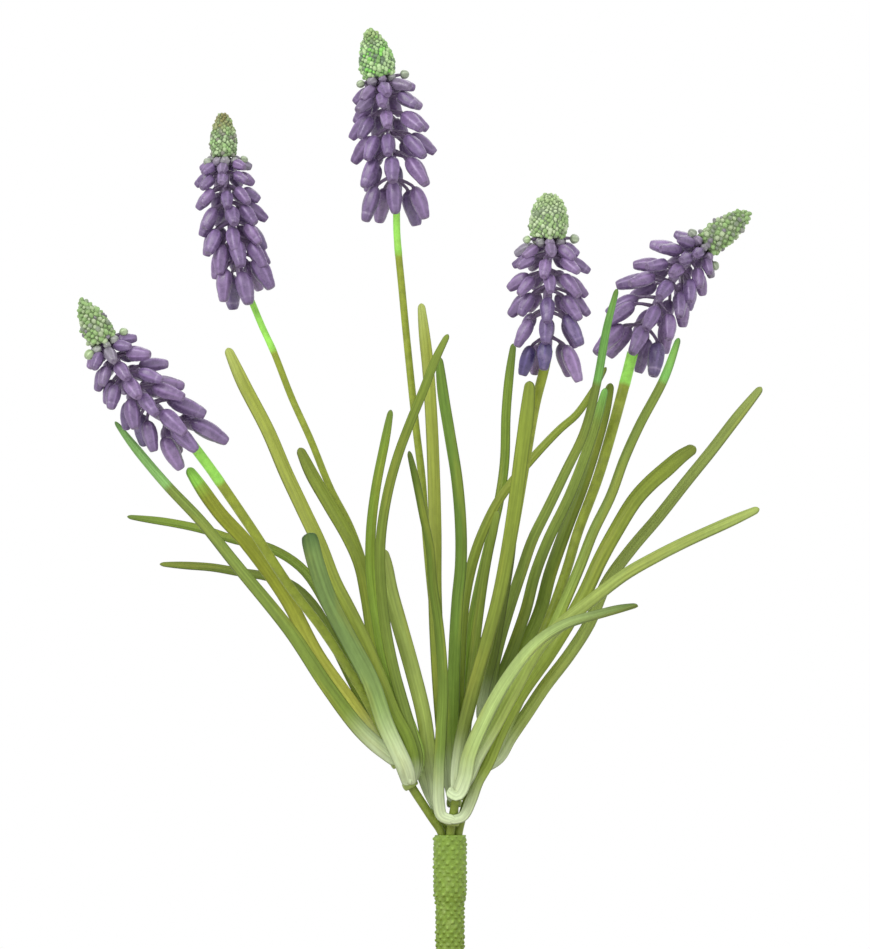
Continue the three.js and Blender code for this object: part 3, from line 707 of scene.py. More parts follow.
@dataclass
class SubAssembly:
    """A part of the object that is gathered shell by shell and becomes one piece."""

    shells: Shells = field(default_factory=Shells, init=False)

    def fit(self, name: str, finish: Finish, node: str) -> None:
        """Make the piece, dress it, let it ride and put it in its node's place.

        Args:
            name: The piece's name.
            finish: What it wears.
            node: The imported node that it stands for.
        """
        piece = self.shells.piece(name)
        piece.data.materials.append(finish.material())
        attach(piece, BODY)
        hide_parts(node)
        log.info("%s: %d faces in %s", name, len(piece.data.polygons), finish.value.name)


# ------------ pot, soil and sleeve


@dataclass
class ClayPot(SubAssembly):
    """The clay pot: a tapered wall with a rim band that stands out, turned on a wheel."""

    height: float = 80.0
    base_radius: float = 36.0
    shoulder_radius: float = 48.5
    shoulder_drop: float = 1.0
    rim_radius: float = 55.0
    rim_height: float = 18.0
    wall: float = 4.5
    floor: float = 6.0
    sides: int = 160
    ripple: float = 0.06
    ripple_pitch: float = 3.1
    ripple_steps: int = 4
    rippled_from: float = 10.0
    paint: Paint = Paint(186, 112, 76)

    # The rounds of the edges, as steps of radius and height from each edge's sharp corner.
    FOOT_ROUND = ((-1.5, 0.0), (-0.4, 0.4), (0.0, 1.5))
    RIM_FOOT_ROUND = ((-1.9, 0.2), (-1.0, 0.9), (-0.6, 2.0))
    OUTER_LIP_ROUND = ((-0.05, -3.0), (-0.25, -1.3), (-0.9, -0.4), (-1.8, 0.0))
    INNER_LIP_ROUND = ((0.0, 0.0), (-1.0, -0.5), (-1.6, -2.0))

    @property
    def rim_foot(self) -> float:
        """The height at which the rim band starts."""
        return self.height - self.rim_height

    def inner_radius(self, height: float) -> float:
        """The radius of the hollow at a height below the rim band."""
        return mix(self.base_radius, self.shoulder_radius, height / self.rim_foot) - self.wall

    def outline(self) -> list[Pair]:
        """The pot's half section, from the middle of its foot over the rim to the middle of its floor.

        Returns:
            Pairs of radius and height in millimetres.
        """
        corners = [
            (0.0, 0.0),
            *self._rounded(self.base_radius, 0.0, self.FOOT_ROUND),
            (self.shoulder_radius, self.rim_foot),
            *self._rounded(self.rim_radius, self.rim_foot, self.RIM_FOOT_ROUND),
            *self._rounded(self.rim_radius, self.height, self.OUTER_LIP_ROUND),
            *self._rounded(self.rim_radius - self.wall, self.height, self.INNER_LIP_ROUND),
            (self.shoulder_radius - self.wall, self.rim_foot - self.shoulder_drop),
            (self.inner_radius(self.floor), self.floor),
            (0.0, self.floor),
        ]
        return self._stepped(corners)

    @staticmethod
    def _rounded(radius: float, height: float, steps: tuple[Pair, ...]) -> list[Pair]:
        """The points that take the place of one sharp corner."""
        return [(radius + outward, height + upward) for outward, upward in steps]

    def _stepped(self, corners: list[Pair]) -> list[Pair]:
        """Divide the long walls into short steps and give them the wheel's ripple.

        Args:
            corners: The half section's corners.

        Returns:
            The corners with the steps between them.
        """
        made = [corners[0]]
        for (radius, height), (next_radius, next_height) in zip(corners, corners[1:]):
            rise = next_height - height
            length = math.hypot(next_radius - radius, rise)
            count = max(1, round(length / (self.ripple_pitch / self.ripple_steps)))
            ripple = self.ripple if abs(rise) > self.rippled_from else 0.0
            for k in range(1, count + 1):
                share = k / count
                wave = ripple * (math.cos(math.tau * share * rise / self.ripple_pitch) - 1.0)
                made.append((mix(radius, next_radius, share) + wave, mix(height, next_height, share)))
        return made

    def build(self) -> None:
        """Build the pot and dress it."""
        self.shells.add(revolve(self.outline(), self.sides), self.paint.linear())
        self.fit("clay_pot", Finish.CLAY, "pot")


@dataclass
class SoilFill(SubAssembly):
    """Potting soil: a crowned lumpy top with crumbs on it, and a hole for the stem."""

    pot: ClayPot
    edge: float = 66.0
    crown: float = 71.0
    top_spread: float = 0.4
    below_rim: float = 2.0
    lump: float = 0.9
    slow_share: float = 0.45
    fast_share: float = 0.22
    gap: float = 0.3
    hole: float = 4.4
    hole_floor: float = 31.7
    hole_margin: float = 4.0
    sides: int = 120
    rings: int = 46
    crumbs: int = 520
    crumb_spread: Pair = (0.02, 1.0)
    crumb_size: Pair = (0.5, 1.9)
    crumb_fineness: float = 2.4
    crumb_stretch: Pair = (0.6, 1.25)
    crumb_dents: Pair = (0.8, 1.15)
    crumb_lift: float = 0.2
    crumbs_to_edge: float = 2.0
    crumbs_to_hole: float = 3.0
    seed: int = 41
    dark: Paint = Paint(66, 47, 34)
    pale: Paint = Paint(104, 78, 56)
    pale_rarity: float = 1.5

    @property
    def low(self) -> float:
        """The height of the soil's flat foot."""
        return self.pot.floor + self.gap

    @property
    def high(self) -> float:
        """The height at which the soil's side ends and its top starts."""
        return self.pot.rim_foot - self.below_rim

    @property
    def top_radius(self) -> float:
        """The radius at which the soil's top meets the pot."""
        return self.pot.inner_radius(self.high) + self.top_spread

    def top_at(self, x: Array, y: Array) -> Array:
        """The height of the soil's top.

        Args:
            x: Places to the right.
            y: Places to the back.

        Returns:
            The height at each place.
        """
        radius = np.hypot(x, y)
        rise = mix(self.edge, self.crown, 1 - np.minimum(radius / self.top_radius, 1.0) ** 2)
        slow = np.sin(x * 0.31 + 1.3) * np.cos(y * 0.27 + 0.4) + np.sin(x * 0.16 - y * 0.21)
        fast = np.sin(x * 1.13 + y * 0.61) * np.cos(y * 1.27 - x * 0.33)
        fast = fast + np.sin(x * 2.3 - 0.7) * np.sin(y * 2.1)
        lumps = self.lump * (self.slow_share * slow + self.fast_share * fast)
        return rise + lumps * ease(radius, self.hole, self.hole + self.hole_margin)

    def build(self) -> None:
        """Build the soil with its crumbs and dress it."""
        side = [self.pot.inner_radius(self.low) - self.gap, self.pot.inner_radius(self.high) - self.gap]
        top = np.linspace(self.top_radius, self.hole, self.rings)
        radii = np.concatenate([side, top, [self.hole]])
        made = level_rings(np.zeros(len(radii)), round_radii(radii, self.sides))
        made[0, :, 2], made[1, :, 2], made[-1, :, 2] = self.low, self.high, self.hole_floor
        made[2:-1, :, 2] = self.top_at(made[2:-1, :, 0], made[2:-1, :, 1])
        self.shells.add(loft(made), self.dark.linear())
        self._scatter()
        self.fit("potting_soil", Finish.SOIL, "soil")

    def _scatter(self) -> None:
        """Lay crumbs on the soil's top."""
        draw = np.random.default_rng(self.seed)
        ball_points, ball_faces = ball(sides=7, rows=4)
        for _ in range(self.crumbs):
            radius = (self.top_radius - self.crumbs_to_edge) * math.sqrt(draw.uniform(*self.crumb_spread))
            turn = draw.uniform(0.0, math.tau)
            x, y = radius * math.cos(turn), radius * math.sin(turn)
            size = mix(*self.crumb_size, draw.random() ** self.crumb_fineness)
            size = size * draw.uniform(*self.crumb_stretch, 3)
            spin = draw.uniform(0.0, math.pi)
            lumps = ball_points * size * draw.uniform(*self.crumb_dents, (len(ball_points), 1))
            cosine, sine = math.cos(spin), math.sin(spin)
            turned = lumps @ np.array([[cosine, sine, 0], [-sine, cosine, 0], [0, 0, 1]])
            height = float(self.top_at(np.array(x), np.array(y))) + self.crumb_lift * size[2]
            tint = self.dark.toward(self.pale, draw.random() ** self.pale_rarity)
            if radius > self.hole + self.crumbs_to_hole:
                self.shells.add((turned + (x, y, height), ball_faces), tint)


@dataclass
class SleeveStem(SubAssembly):
    """The knobbly sleeve: staggered rows of low beads, and a socket for the stalks."""

    top: float = 115.0
    foot: float = 32.0
    radius: float = 4.05
    slim_radius: float = 3.5
    step: float = 99.0
    step_blend: float = 2.0
    lip: float = 0.9
    lip_share: float = 0.9
    knob: float = 0.38
    knob_sink: float = 0.15
    knob_width: float = 0.85
    knob_usual: float = 0.78
    knob_swing: float = 0.3
    pitch: float = 2.3
    around: int = 11
    stagger: float = 0.8
    knobs_from: float = 67.0
    knobs_full: float = 70.0
    socket_radius: float = 3.55
    socket_round: float = 0.1
    socket_bevel: float = 0.3
    socket_depth: float = 3.2
    sides: int = 132
    row_height: float = 0.17
    low: Paint = Paint(146, 180, 70)
    high: Paint = Paint(136, 167, 66)
    # painted highlight on the beads' crowns, and painted shade in the grooves and the socket
    crest_highlight: Paint = Paint(176, 204, 112)
    crest_highlight_share: float = 0.3
    groove_painted_shade: float = 0.84
    socket_painted_shade: float = 0.5

    # The slow waves that the rows of beads wander by: size, pace along, and waves round.
    WANDER = ((0.45, 0.73, 1), (0.35, 0.31, -2), (0.3, 1.3, 3))
    # The two waves whose product makes some beads higher: pace along, and waves round.
    SWELL = ((2.1, 4), (1.37, -5))

    def _knobs(self, z: Array, angle: Array) -> Array:
        """The beads' height over the sleeve.

        Args:
            z: The height of each row.
            angle: The angle of each side.

        Returns:
            Shares of a bead's height by row and side.
        """
        wander = sum(size * np.sin(z * along + turns * angle) for size, along, turns in self.WANDER)
        rows = np.cos(math.tau * z / self.pitch + wander)
        bead = np.cos(self.around * angle + self.stagger * wander) * rows
        first, second = (np.sin(z * along + turns * angle) for along, turns in self.SWELL)
        size = self.knob_usual + self.knob_swing * first * second
        return ease(bead, 0.0, self.knob_width) * size * ease(z, self.knobs_from, self.knobs_full)

    def build(self) -> None:
        """Build the sleeve and dress it."""
        z = np.linspace(self.foot, self.top, round((self.top - self.foot) / self.row_height))[:, None]
        knobs = self._knobs(z, angles(self.sides)[None, :])
        stepped = ease(z, self.step - self.step_blend, self.step + self.step_blend)
        body = mix(self.slim_radius, self.radius, stepped)
        lip = np.sqrt(np.clip((self.top - z) / self.lip, 0.0, 1.0))
        radii = (body + self.knob * (knobs - self.knob_sink)) * mix(self.lip_share, 1.0, lip)
        cup_drop = np.array([0.0, self.socket_bevel, self.socket_depth])
        cup_radii = self.socket_radius - np.array([0.0, self.socket_round, self.socket_round])
        cup = level_rings(self.top - cup_drop, round_radii(cup_radii, self.sides))
        self.shells.add(loft(np.concatenate([level_rings(z[:, 0], radii), cup])), self._tints(z, knobs))
        self.fit("sleeve_stem", Finish.SLEEVE, "main_stem")

    def _tints(self, z: Array, knobs: Array) -> Array:
        """Colour the sleeve's points, with painted highlights on the bead crowns and painted shade in the
        grooves and in the socket.

        Args:
            z: The height of each row.
            knobs: The beads' height by row and side.

        Returns:
            A row of linear colour for each point, the socket's last.
        """
        tint = self.low.toward(self.high, ease(z, self.knobs_full, self.top)[:, :, None])
        # painted highlight on the bead crowns, painted shade in the grooves between them
        crest_highlight = mix(tint, self.crest_highlight.linear(), self.crest_highlight_share)
        outer = mix(tint * self.groove_painted_shade, crest_highlight, knobs[:, :, None] ** 2).reshape(-1, 3)
        # painted shade inside the socket
        socket = np.tile(self.low.linear() * self.socket_painted_shade, (3 * self.sides + 2, 1))
        return np.vstack([outer, socket])


# ------------ stalks and flower heads


@dataclass(frozen=True)
class Beading:
    """How a tip's beads are laid: how many, how large, and their paints."""

    count: int
    size: float
    stand: float
    crowns: tuple[Paint, ...]
    net: Paint
    point: Paint
    point_from: float = 0.62


class TipLook(Enum):
    """How the tip of a head is beaded."""

    NETTED = Beading(
        260, 0.58, 1.5,
        (Paint(140, 212, 100), Paint(180, 210, 152), Paint(134, 176, 106), Paint(122, 142, 116)),
        Paint(128, 148, 122), Paint(150, 172, 106),
    )
    FROSTED = Beading(
        280, 0.56, 1.6,
        (Paint(168, 196, 138), Paint(188, 206, 164), Paint(150, 180, 120), Paint(138, 154, 122)),
        Paint(146, 160, 134), Paint(172, 196, 138),
    )
    BROWNED = Beading(
        220, 0.52, 1.5,
        (Paint(148, 182, 120), Paint(176, 200, 152), Paint(134, 160, 112), Paint(136, 138, 124)),
        Paint(132, 146, 116), Paint(142, 134, 82), 0.5,
    )
    KNOBBED = Beading(
        150, 0.64, 1.9,
        (Paint(136, 146, 128), Paint(174, 190, 152), Paint(146, 178, 116), Paint(130, 124, 134)),
        Paint(146, 166, 124), Paint(144, 176, 112),
    )


@dataclass
class FlowerHead:
    """One head: its middle line from apex to lowest florets, its tip and its florets' sizes."""

    apex: Triple
    top: Triple
    low: Triple
    look: TipLook
    tip_radius: float
    tip_point: float
    rows: int
    lengths: Pair
    stands: Pair
    fling: float
    low_droop: float
    reach: float
    inked: tuple[int, ...] = ()  # which florets of the lowest whorl are moulded in indigo
    bend: float = 0.4
    rachis_share: float = 0.88

    def __post_init__(self) -> None:
        """Place the line's three points in the opened spray."""
        opened = Opening().place([self.apex, self.top, self.low])
        self.apex_point, self.top_point, self.low_point = opened
        length = self.bend * np.linalg.norm(self.top_point - self.low_point)
        self.middle_point = self.top_point + length * unit(self.top_point - self.apex_point)

    def at(self, share: float) -> Array:
        """The place at a share of the line, 0 at the tip."""
        ends = (1 - share) ** 2 * self.top_point + share**2 * self.low_point
        return ends + 2 * share * (1 - share) * self.middle_point

    def down(self, share: float) -> Array:
        """The unit direction down the line at a share."""
        first = (1 - share) * (self.middle_point - self.top_point)
        return unit(first + share * (self.low_point - self.middle_point))


@dataclass
class FlowerStalk(SubAssembly):
    """A round stalk from the sleeve's socket to its head, olive below and lime at its neck."""

    name: str
    head: FlowerHead
    radii: Pair
    neck_from: float
    route: tuple[Triple, ...]
    neck_blend: float = 0.5
    neck_swell: float = 0.06
    swell_length: float = 3.0
    sides: int = 20
    steps: int = 130
    seat: float = 0.45
    foot: float = 116.0
    foot_paint: Paint = Paint(124, 142, 52)
    body_paint: Paint = Paint(141, 154, 50)
    neck_paint: Paint = Paint(153, 220, 90)

    def __post_init__(self) -> None:
        """Lay the stalk's line, on into the head as far as the rachis."""
        share = self.head.rachis_share
        end = self.head.at(share) + self.seat * self.head.down(share)
        self.line = Route(np.vstack([Opening().place(self.route), end]))

    def radius(self, share: Number) -> Number:
        """The stalk's radius at a share of its length."""
        return mix(*self.radii, share)

    def build(self) -> None:
        """Build the stalk and dress it."""
        share = np.linspace(0.0, 1.0, self.steps)
        centres = self.line.at(share)
        height = centres[:, 2]
        neck_end = self.neck_from + self.neck_blend
        neck = ease(height, self.neck_from - self.neck_blend, neck_end)
        fading = ease(height, neck_end, self.neck_from + self.swell_length)
        radii = self.radius(share) + self.neck_swell * neck * (1 - fading)
        across = sides_of(self.line.heading(share))
        rings = rings_round(centres, *across, round_radii(radii, self.sides))
        tint = self.foot_paint.toward(self.body_paint, ease(height, self.foot, self.neck_from)[:, None])
        tint = mix(tint, self.neck_paint.linear(), neck[:, None])
        self.shells.add(loft(rings), over_shell(tint, np.ones((1, self.sides))))
        self.fit(f"flower_stalk_{self.name}", Finish.STALK, f"stalk_{self.name}")


@dataclass(frozen=True)
class Bell:
    """One floret or bud: its outline, its place and pose on the head's line, size and colour.

    It leaves the line at a share, turned round it (-90 degrees at the front), drooping from
    square to it by some degrees, on a pedicel as long as it stands off.
    """

    shape: Sequence[Pair]
    share: float
    turn: float
    droop: float
    stand: float
    length: float
    radius: float
    base: Array
    seed: float


@dataclass
class FloretCluster(SubAssembly):
    """Whorls of florets on a dark rachis: small buds on top, long drooping barrels below."""

    name: str
    head: FlowerHead
    seed: float
    row_seed: int = 37
    column_seed: int = 11
    around: tuple[int, ...] = (7, 6, 5)
    first_share: float = 0.05
    reach_power: float = 1.2
    share_spare: Pair = (0.03, 0.1)
    share_middle: float = 0.6
    turn_spare: float = 18.0
    top_droop: float = 22.0
    droop_power: float = 1.1
    droop_spare: float = 16.0
    end_droop: float = 6.0
    stand_swell: float = 0.7
    stand_spare: float = 0.16
    length_spare: float = 0.16
    slim_radius: float = 0.82
    radius_share: float = 0.14
    radius_spare: float = 0.1
    flung_length: float = 0.7
    flung_stand: float = 0.3
    pedicel_droop: float = 0.4
    rachis_radius: float = 1.05
    rachis_knots: float = 0.12
    rachis_paleness: float = 0.45
    rachis_steps: int = 40
    buds: int = 7
    bud_seed: int = 501
    next_bud: int = 13
    bud_share: float = 0.02
    bud_scatter: float = 0.02
    bud_length: float = 2.3
    bud_radius: float = 1.12
    bud_spare: float = 0.3
    bud_stand: float = 2.0
    bud_droop: float = 5.0
    bud_ripeness: float = 0.45
    sides: int = 24
    ridges: int = 3
    ridge: float = 0.09
    ridge_sink: float = 0.4
    squash: float = 0.035
    dent: float = 0.03
    bend_steps: int = 40
    bend_before: float = 0.35
    bend_after: float = 0.12
    least_radius: float = 0.1
    foot_blend: Pair = (-0.05, 0.12)
    crease_at: float = 0.8
    crease_width: float = 0.035
    crease_share: float = 0.5
    crease_from: Pair = (0.4, 1.0)
    mouth_from: float = 0.94
    mouth_share: float = 0.45
    green_share: float = 0.22
    green_power: int = 6
    green_from: Pair = (0.5, 0.95)
    ink_share: float = 0.75
    ink_from: Pair = (0.86, 1.0)
    ink_depth: Pair = (0.3, 0.9)
    light: Pair = (0.9, 1.12)
    # painted highlight on the ridges and painted shade between them: the factor on the flats, and what the
    # crests gain
    ridge_painted_light: Pair = (0.86, 0.5)
    purple: Paint = Paint(134, 109, 152)
    violet: Paint = Paint(116, 95, 137)
    dark: Paint = Paint(114, 94, 126)
    rim: Paint = Paint(168, 150, 184)
    green: Paint = Paint(168, 192, 140)
    indigo: Paint = Paint(78, 66, 112)

    # Pedicel: shares of its length before the floret, with its radius there.
    PEDICEL = ((-1.0, 0.6), (-0.7, 0.5), (-0.4, 0.42), (-0.12, 0.42))
    # How strongly the ridges stand out along a floret.
    RIDGED = ((0.0, 0.0), (0.2, 1.0), (0.7, 1.0), (1.0, 0.6))
    # Radius along a barrel: shoulder, belly, a crease, and the closed mouth with its dimple.
    BARREL = (
        (0.0, 0.22), (0.025, 0.42), (0.07, 0.64), (0.14, 0.82), (0.23, 0.94), (0.34, 0.995), (0.46, 0.99),
        (0.57, 0.94), (0.67, 0.86), (0.74, 0.79), (0.775, 0.755), (0.8, 0.76), (0.85, 0.72), (0.92, 0.64),
        (0.965, 0.57), (0.99, 0.5), (1.0, 0.42), (0.99, 0.3), (0.97, 0.16),
    )
    # The same for a round bud.
    BALL = (
        (0.0, 0.3), (0.06, 0.56), (0.16, 0.8), (0.3, 0.96), (0.45, 1.0), (0.6, 0.96), (0.75, 0.84),
        (0.87, 0.66), (0.95, 0.44), (1.0, 0.2), (0.985, 0.1),
    )
    # Green buds that stray out past the tip: step of seed, turn, and how far past its radius.
    STRAYS = ((700, 4.0, 0.5), (713, 203.0, 0.0))

    def build(self) -> None:
        """Build the head's florets and rachis and dress them."""
        self._rachis()
        for row in range(self.head.rows):
            around = self.around[max(0, row + len(self.around) - self.head.rows)]
            for column in range(around):
                self._floret(row, column, around)
        for column in range(self.buds):
            seed = self.seed + self.bud_seed + column * self.next_bud
            turn = 360 * (column + 0.5 * chance(seed)) / self.buds - 90
            self._bud(seed, turn, self.bud_stand, self.bud_ripeness)
        for step, turn, past in self.STRAYS:
            self._bud(self.seed + step, turn, self.head.tip_radius + past, 0.0)
        self.fit(f"bell_florets_{self.name}", Finish.FLORET, f"florets_{self.name}")

    def _rachis(self) -> None:
        """Add the middle rod that the florets stand on."""
        shares = np.linspace(0.0, self.head.rachis_share, self.rachis_steps)
        centres = np.array([self.head.at(share) for share in shares])
        across = sides_of(-np.array([self.head.down(share) for share in shares]))
        knots = 1 + self.rachis_knots * np.cos(math.tau * self.head.rows * shares)
        radii = round_radii(self.rachis_radius * knots, self.sides)
        rings = rings_round(centres, *across, radii)
        self.shells.add(loft(rings), self.dark.toward(self.rim, self.rachis_paleness))

    def _floret(self, row: int, column: int, around: int) -> None:
        """Add one floret of a whorl.

        Args:
            row: Its whorl, 0 at the top.
            column: Its number round the whorl.
            around: How many florets its whorl has.
        """
        seed = self.seed + row * self.row_seed + column * self.column_seed
        depth = row / (self.head.rows - 1)
        turn = 360 * column / around - 90 + spare(seed, self.turn_spare)
        droop = mix(self.top_droop, self.head.low_droop, depth**self.droop_power)
        droop += spare(seed + 2, self.droop_spare)
        length = mix(*self.head.lengths, depth) * (1 + spare(seed + 3, self.length_spare))
        radius = self.slim_radius + self.radius_share * length
        radius = radius * (1 + spare(seed + 4, self.radius_spare))
        flung = max(0.0, self.head.fling * math.cos(math.radians(turn))) * math.sqrt(depth)
        length += self.flung_length * flung
        stand = mix(*self.head.stands, depth) + self.stand_swell * math.sin(math.pi * depth)
        stand = (stand + self.flung_stand * flung) * (1 + spare(seed + 9, self.stand_spare))
        share = mix(self.first_share, self.head.reach, depth**self.reach_power)
        share += mix(*self.share_spare, depth * depth) * (chance(seed + 1) - self.share_middle)
        inked = row == self.head.rows - 1 and column in self.head.inked
        base = self.indigo.linear() if inked else self._floret_paint(depth, seed)
        fresh = self.green_share * (1 - depth) ** self.green_power * ease(chance(seed + 7), *self.green_from)
        base = mix(base, self.green.linear(), fresh)
        self._bell(Bell(self.BARREL, share, turn, droop, stand, length, radius, base, seed))

    def _floret_paint(self, depth: float, seed: float) -> Array:
        """Draw a floret's own purple.

        Args:
            depth: How far down the head it stands, 0 to 1.
            seed: Its seed.

        Returns:
            A linear colour, now and then near indigo on the lower florets.
        """
        base = self.purple.toward(self.violet, chance(seed + 5))
        inky = self.ink_share * ease(chance(seed + 6), *self.ink_from) * ease(depth, *self.ink_depth)
        return mix(base, self.indigo.linear(), inky) * mix(*self.light, chance(seed + 10))

    def _bud(self, seed: float, turn: float, stand: float, ripe: float) -> None:
        """Add one small round bud right under the tip.

        Args:
            seed: The seed of its small irregularities.
            turn: Its turn round the head in degrees, -90 at the front.
            stand: Its pedicel's length.
            ripe: The least share of purple in its green.
        """
        share = self.bud_share + spare(seed + 1, self.bud_scatter)
        base = self.green.toward(self.purple, mix(ripe, ripe + self.bud_ripeness, chance(seed + 2)))
        size = 1 + spare(seed + 3, self.bud_spare)
        length, radius = self.bud_length * size, self.bud_radius * size
        self._bell(Bell(self.BALL, share, turn, self.bud_droop, stand, length, radius, base, seed))

    def _bell(self, bell: Bell) -> None:
        """Add a floret or bud on its bent pedicel.

        Args:
            bell: The floret or bud.
        """
        stand, length, seed = bell.stand, bell.length, bell.seed
        upward = -self.head.down(bell.share)
        right, back = sides_of(upward)
        spin = math.radians(bell.turn)
        out = math.cos(spin) * right + math.sin(spin) * back
        side = math.cos(spin) * back - math.sin(spin) * right
        pedicel, profile = np.array(self.PEDICEL), np.array(bell.shape)
        reach = np.concatenate([pedicel[:, 0] * stand, profile[:, 0] * length])
        radii = np.concatenate([pedicel[:, 1], np.maximum(profile[:, 1] * bell.radius, self.least_radius)])
        walk = np.linspace(-stand, length, self.bend_steps)
        bent = ease(walk, -self.bend_before * stand, self.bend_after * length)
        angle = math.radians(bell.droop) * (self.pedicel_droop + (1 - self.pedicel_droop) * bent)
        angle = angle + math.radians(self.end_droop) * walk / length
        steps = np.diff(walk, prepend=walk[0])
        across = np.interp(reach, walk, np.cumsum(np.cos(angle) * steps))[:, None]
        fall = np.interp(reach, walk, np.cumsum(np.sin(angle) * steps))[:, None]
        lean = np.interp(reach, walk, angle)[:, None]
        centres = self.head.at(bell.share) + across * out - fall * upward
        over = unit(np.cross(np.cos(lean) * out - np.sin(lean) * upward, side))
        around = angles(self.sides)[None, :]
        ridged = np.array(self.RIDGED)
        body = np.interp(reach, ridged[:, 0] * length, ridged[:, 1])[:, None]
        crests = 1 - np.abs(np.sin(self.ridges * around))
        facets = self.ridge * (crests - self.ridge_sink) + self.squash * np.cos(2 * around + 3 * seed)
        dents = self.dent * np.sin(2 * around + 7 * reach[:, None] / length + seed)
        roll = math.tau * chance(seed + 11)
        across_ring = math.cos(roll) * side + math.sin(roll) * over
        over_ring = math.cos(roll) * over - math.sin(roll) * side
        rings = rings_round(centres, across_ring, over_ring, radii[:, None] * (1 + body * (facets + dents)))
        self.shells.add(loft(rings), self._tints(bell, reach[:, None] / length, body * crests))

    def _tints(self, bell: Bell, rise: Array, crests: Array) -> Array:
        """Colour a floret's points, with painted highlights along its ridges and painted shade on the flats
        between them.

        Args:
            bell: The floret or bud.
            rise: The share of its length at each ring.
            crests: How near each point is to the crest of a ridge, 0 to 1.

        Returns:
            A row of linear colour for each point.
        """
        tint = mix(self.dark.linear(), bell.base, ease(rise, *self.foot_blend))
        paled = self.crease_share * ease(chance(bell.seed + 8), *self.crease_from)
        crease = np.exp(-(((rise - self.crease_at) / self.crease_width) ** 2)) * paled
        tint = mix(tint, self.rim.linear(), crease)
        tint = mix(tint, self.dark.linear(), self.mouth_share * ease(rise, self.mouth_from, 1.0))
        # painted highlight along the ridge crests, painted shade on the flats between them
        dull, gain = self.ridge_painted_light
        return over_shell(tint, dull + gain * crests**2)


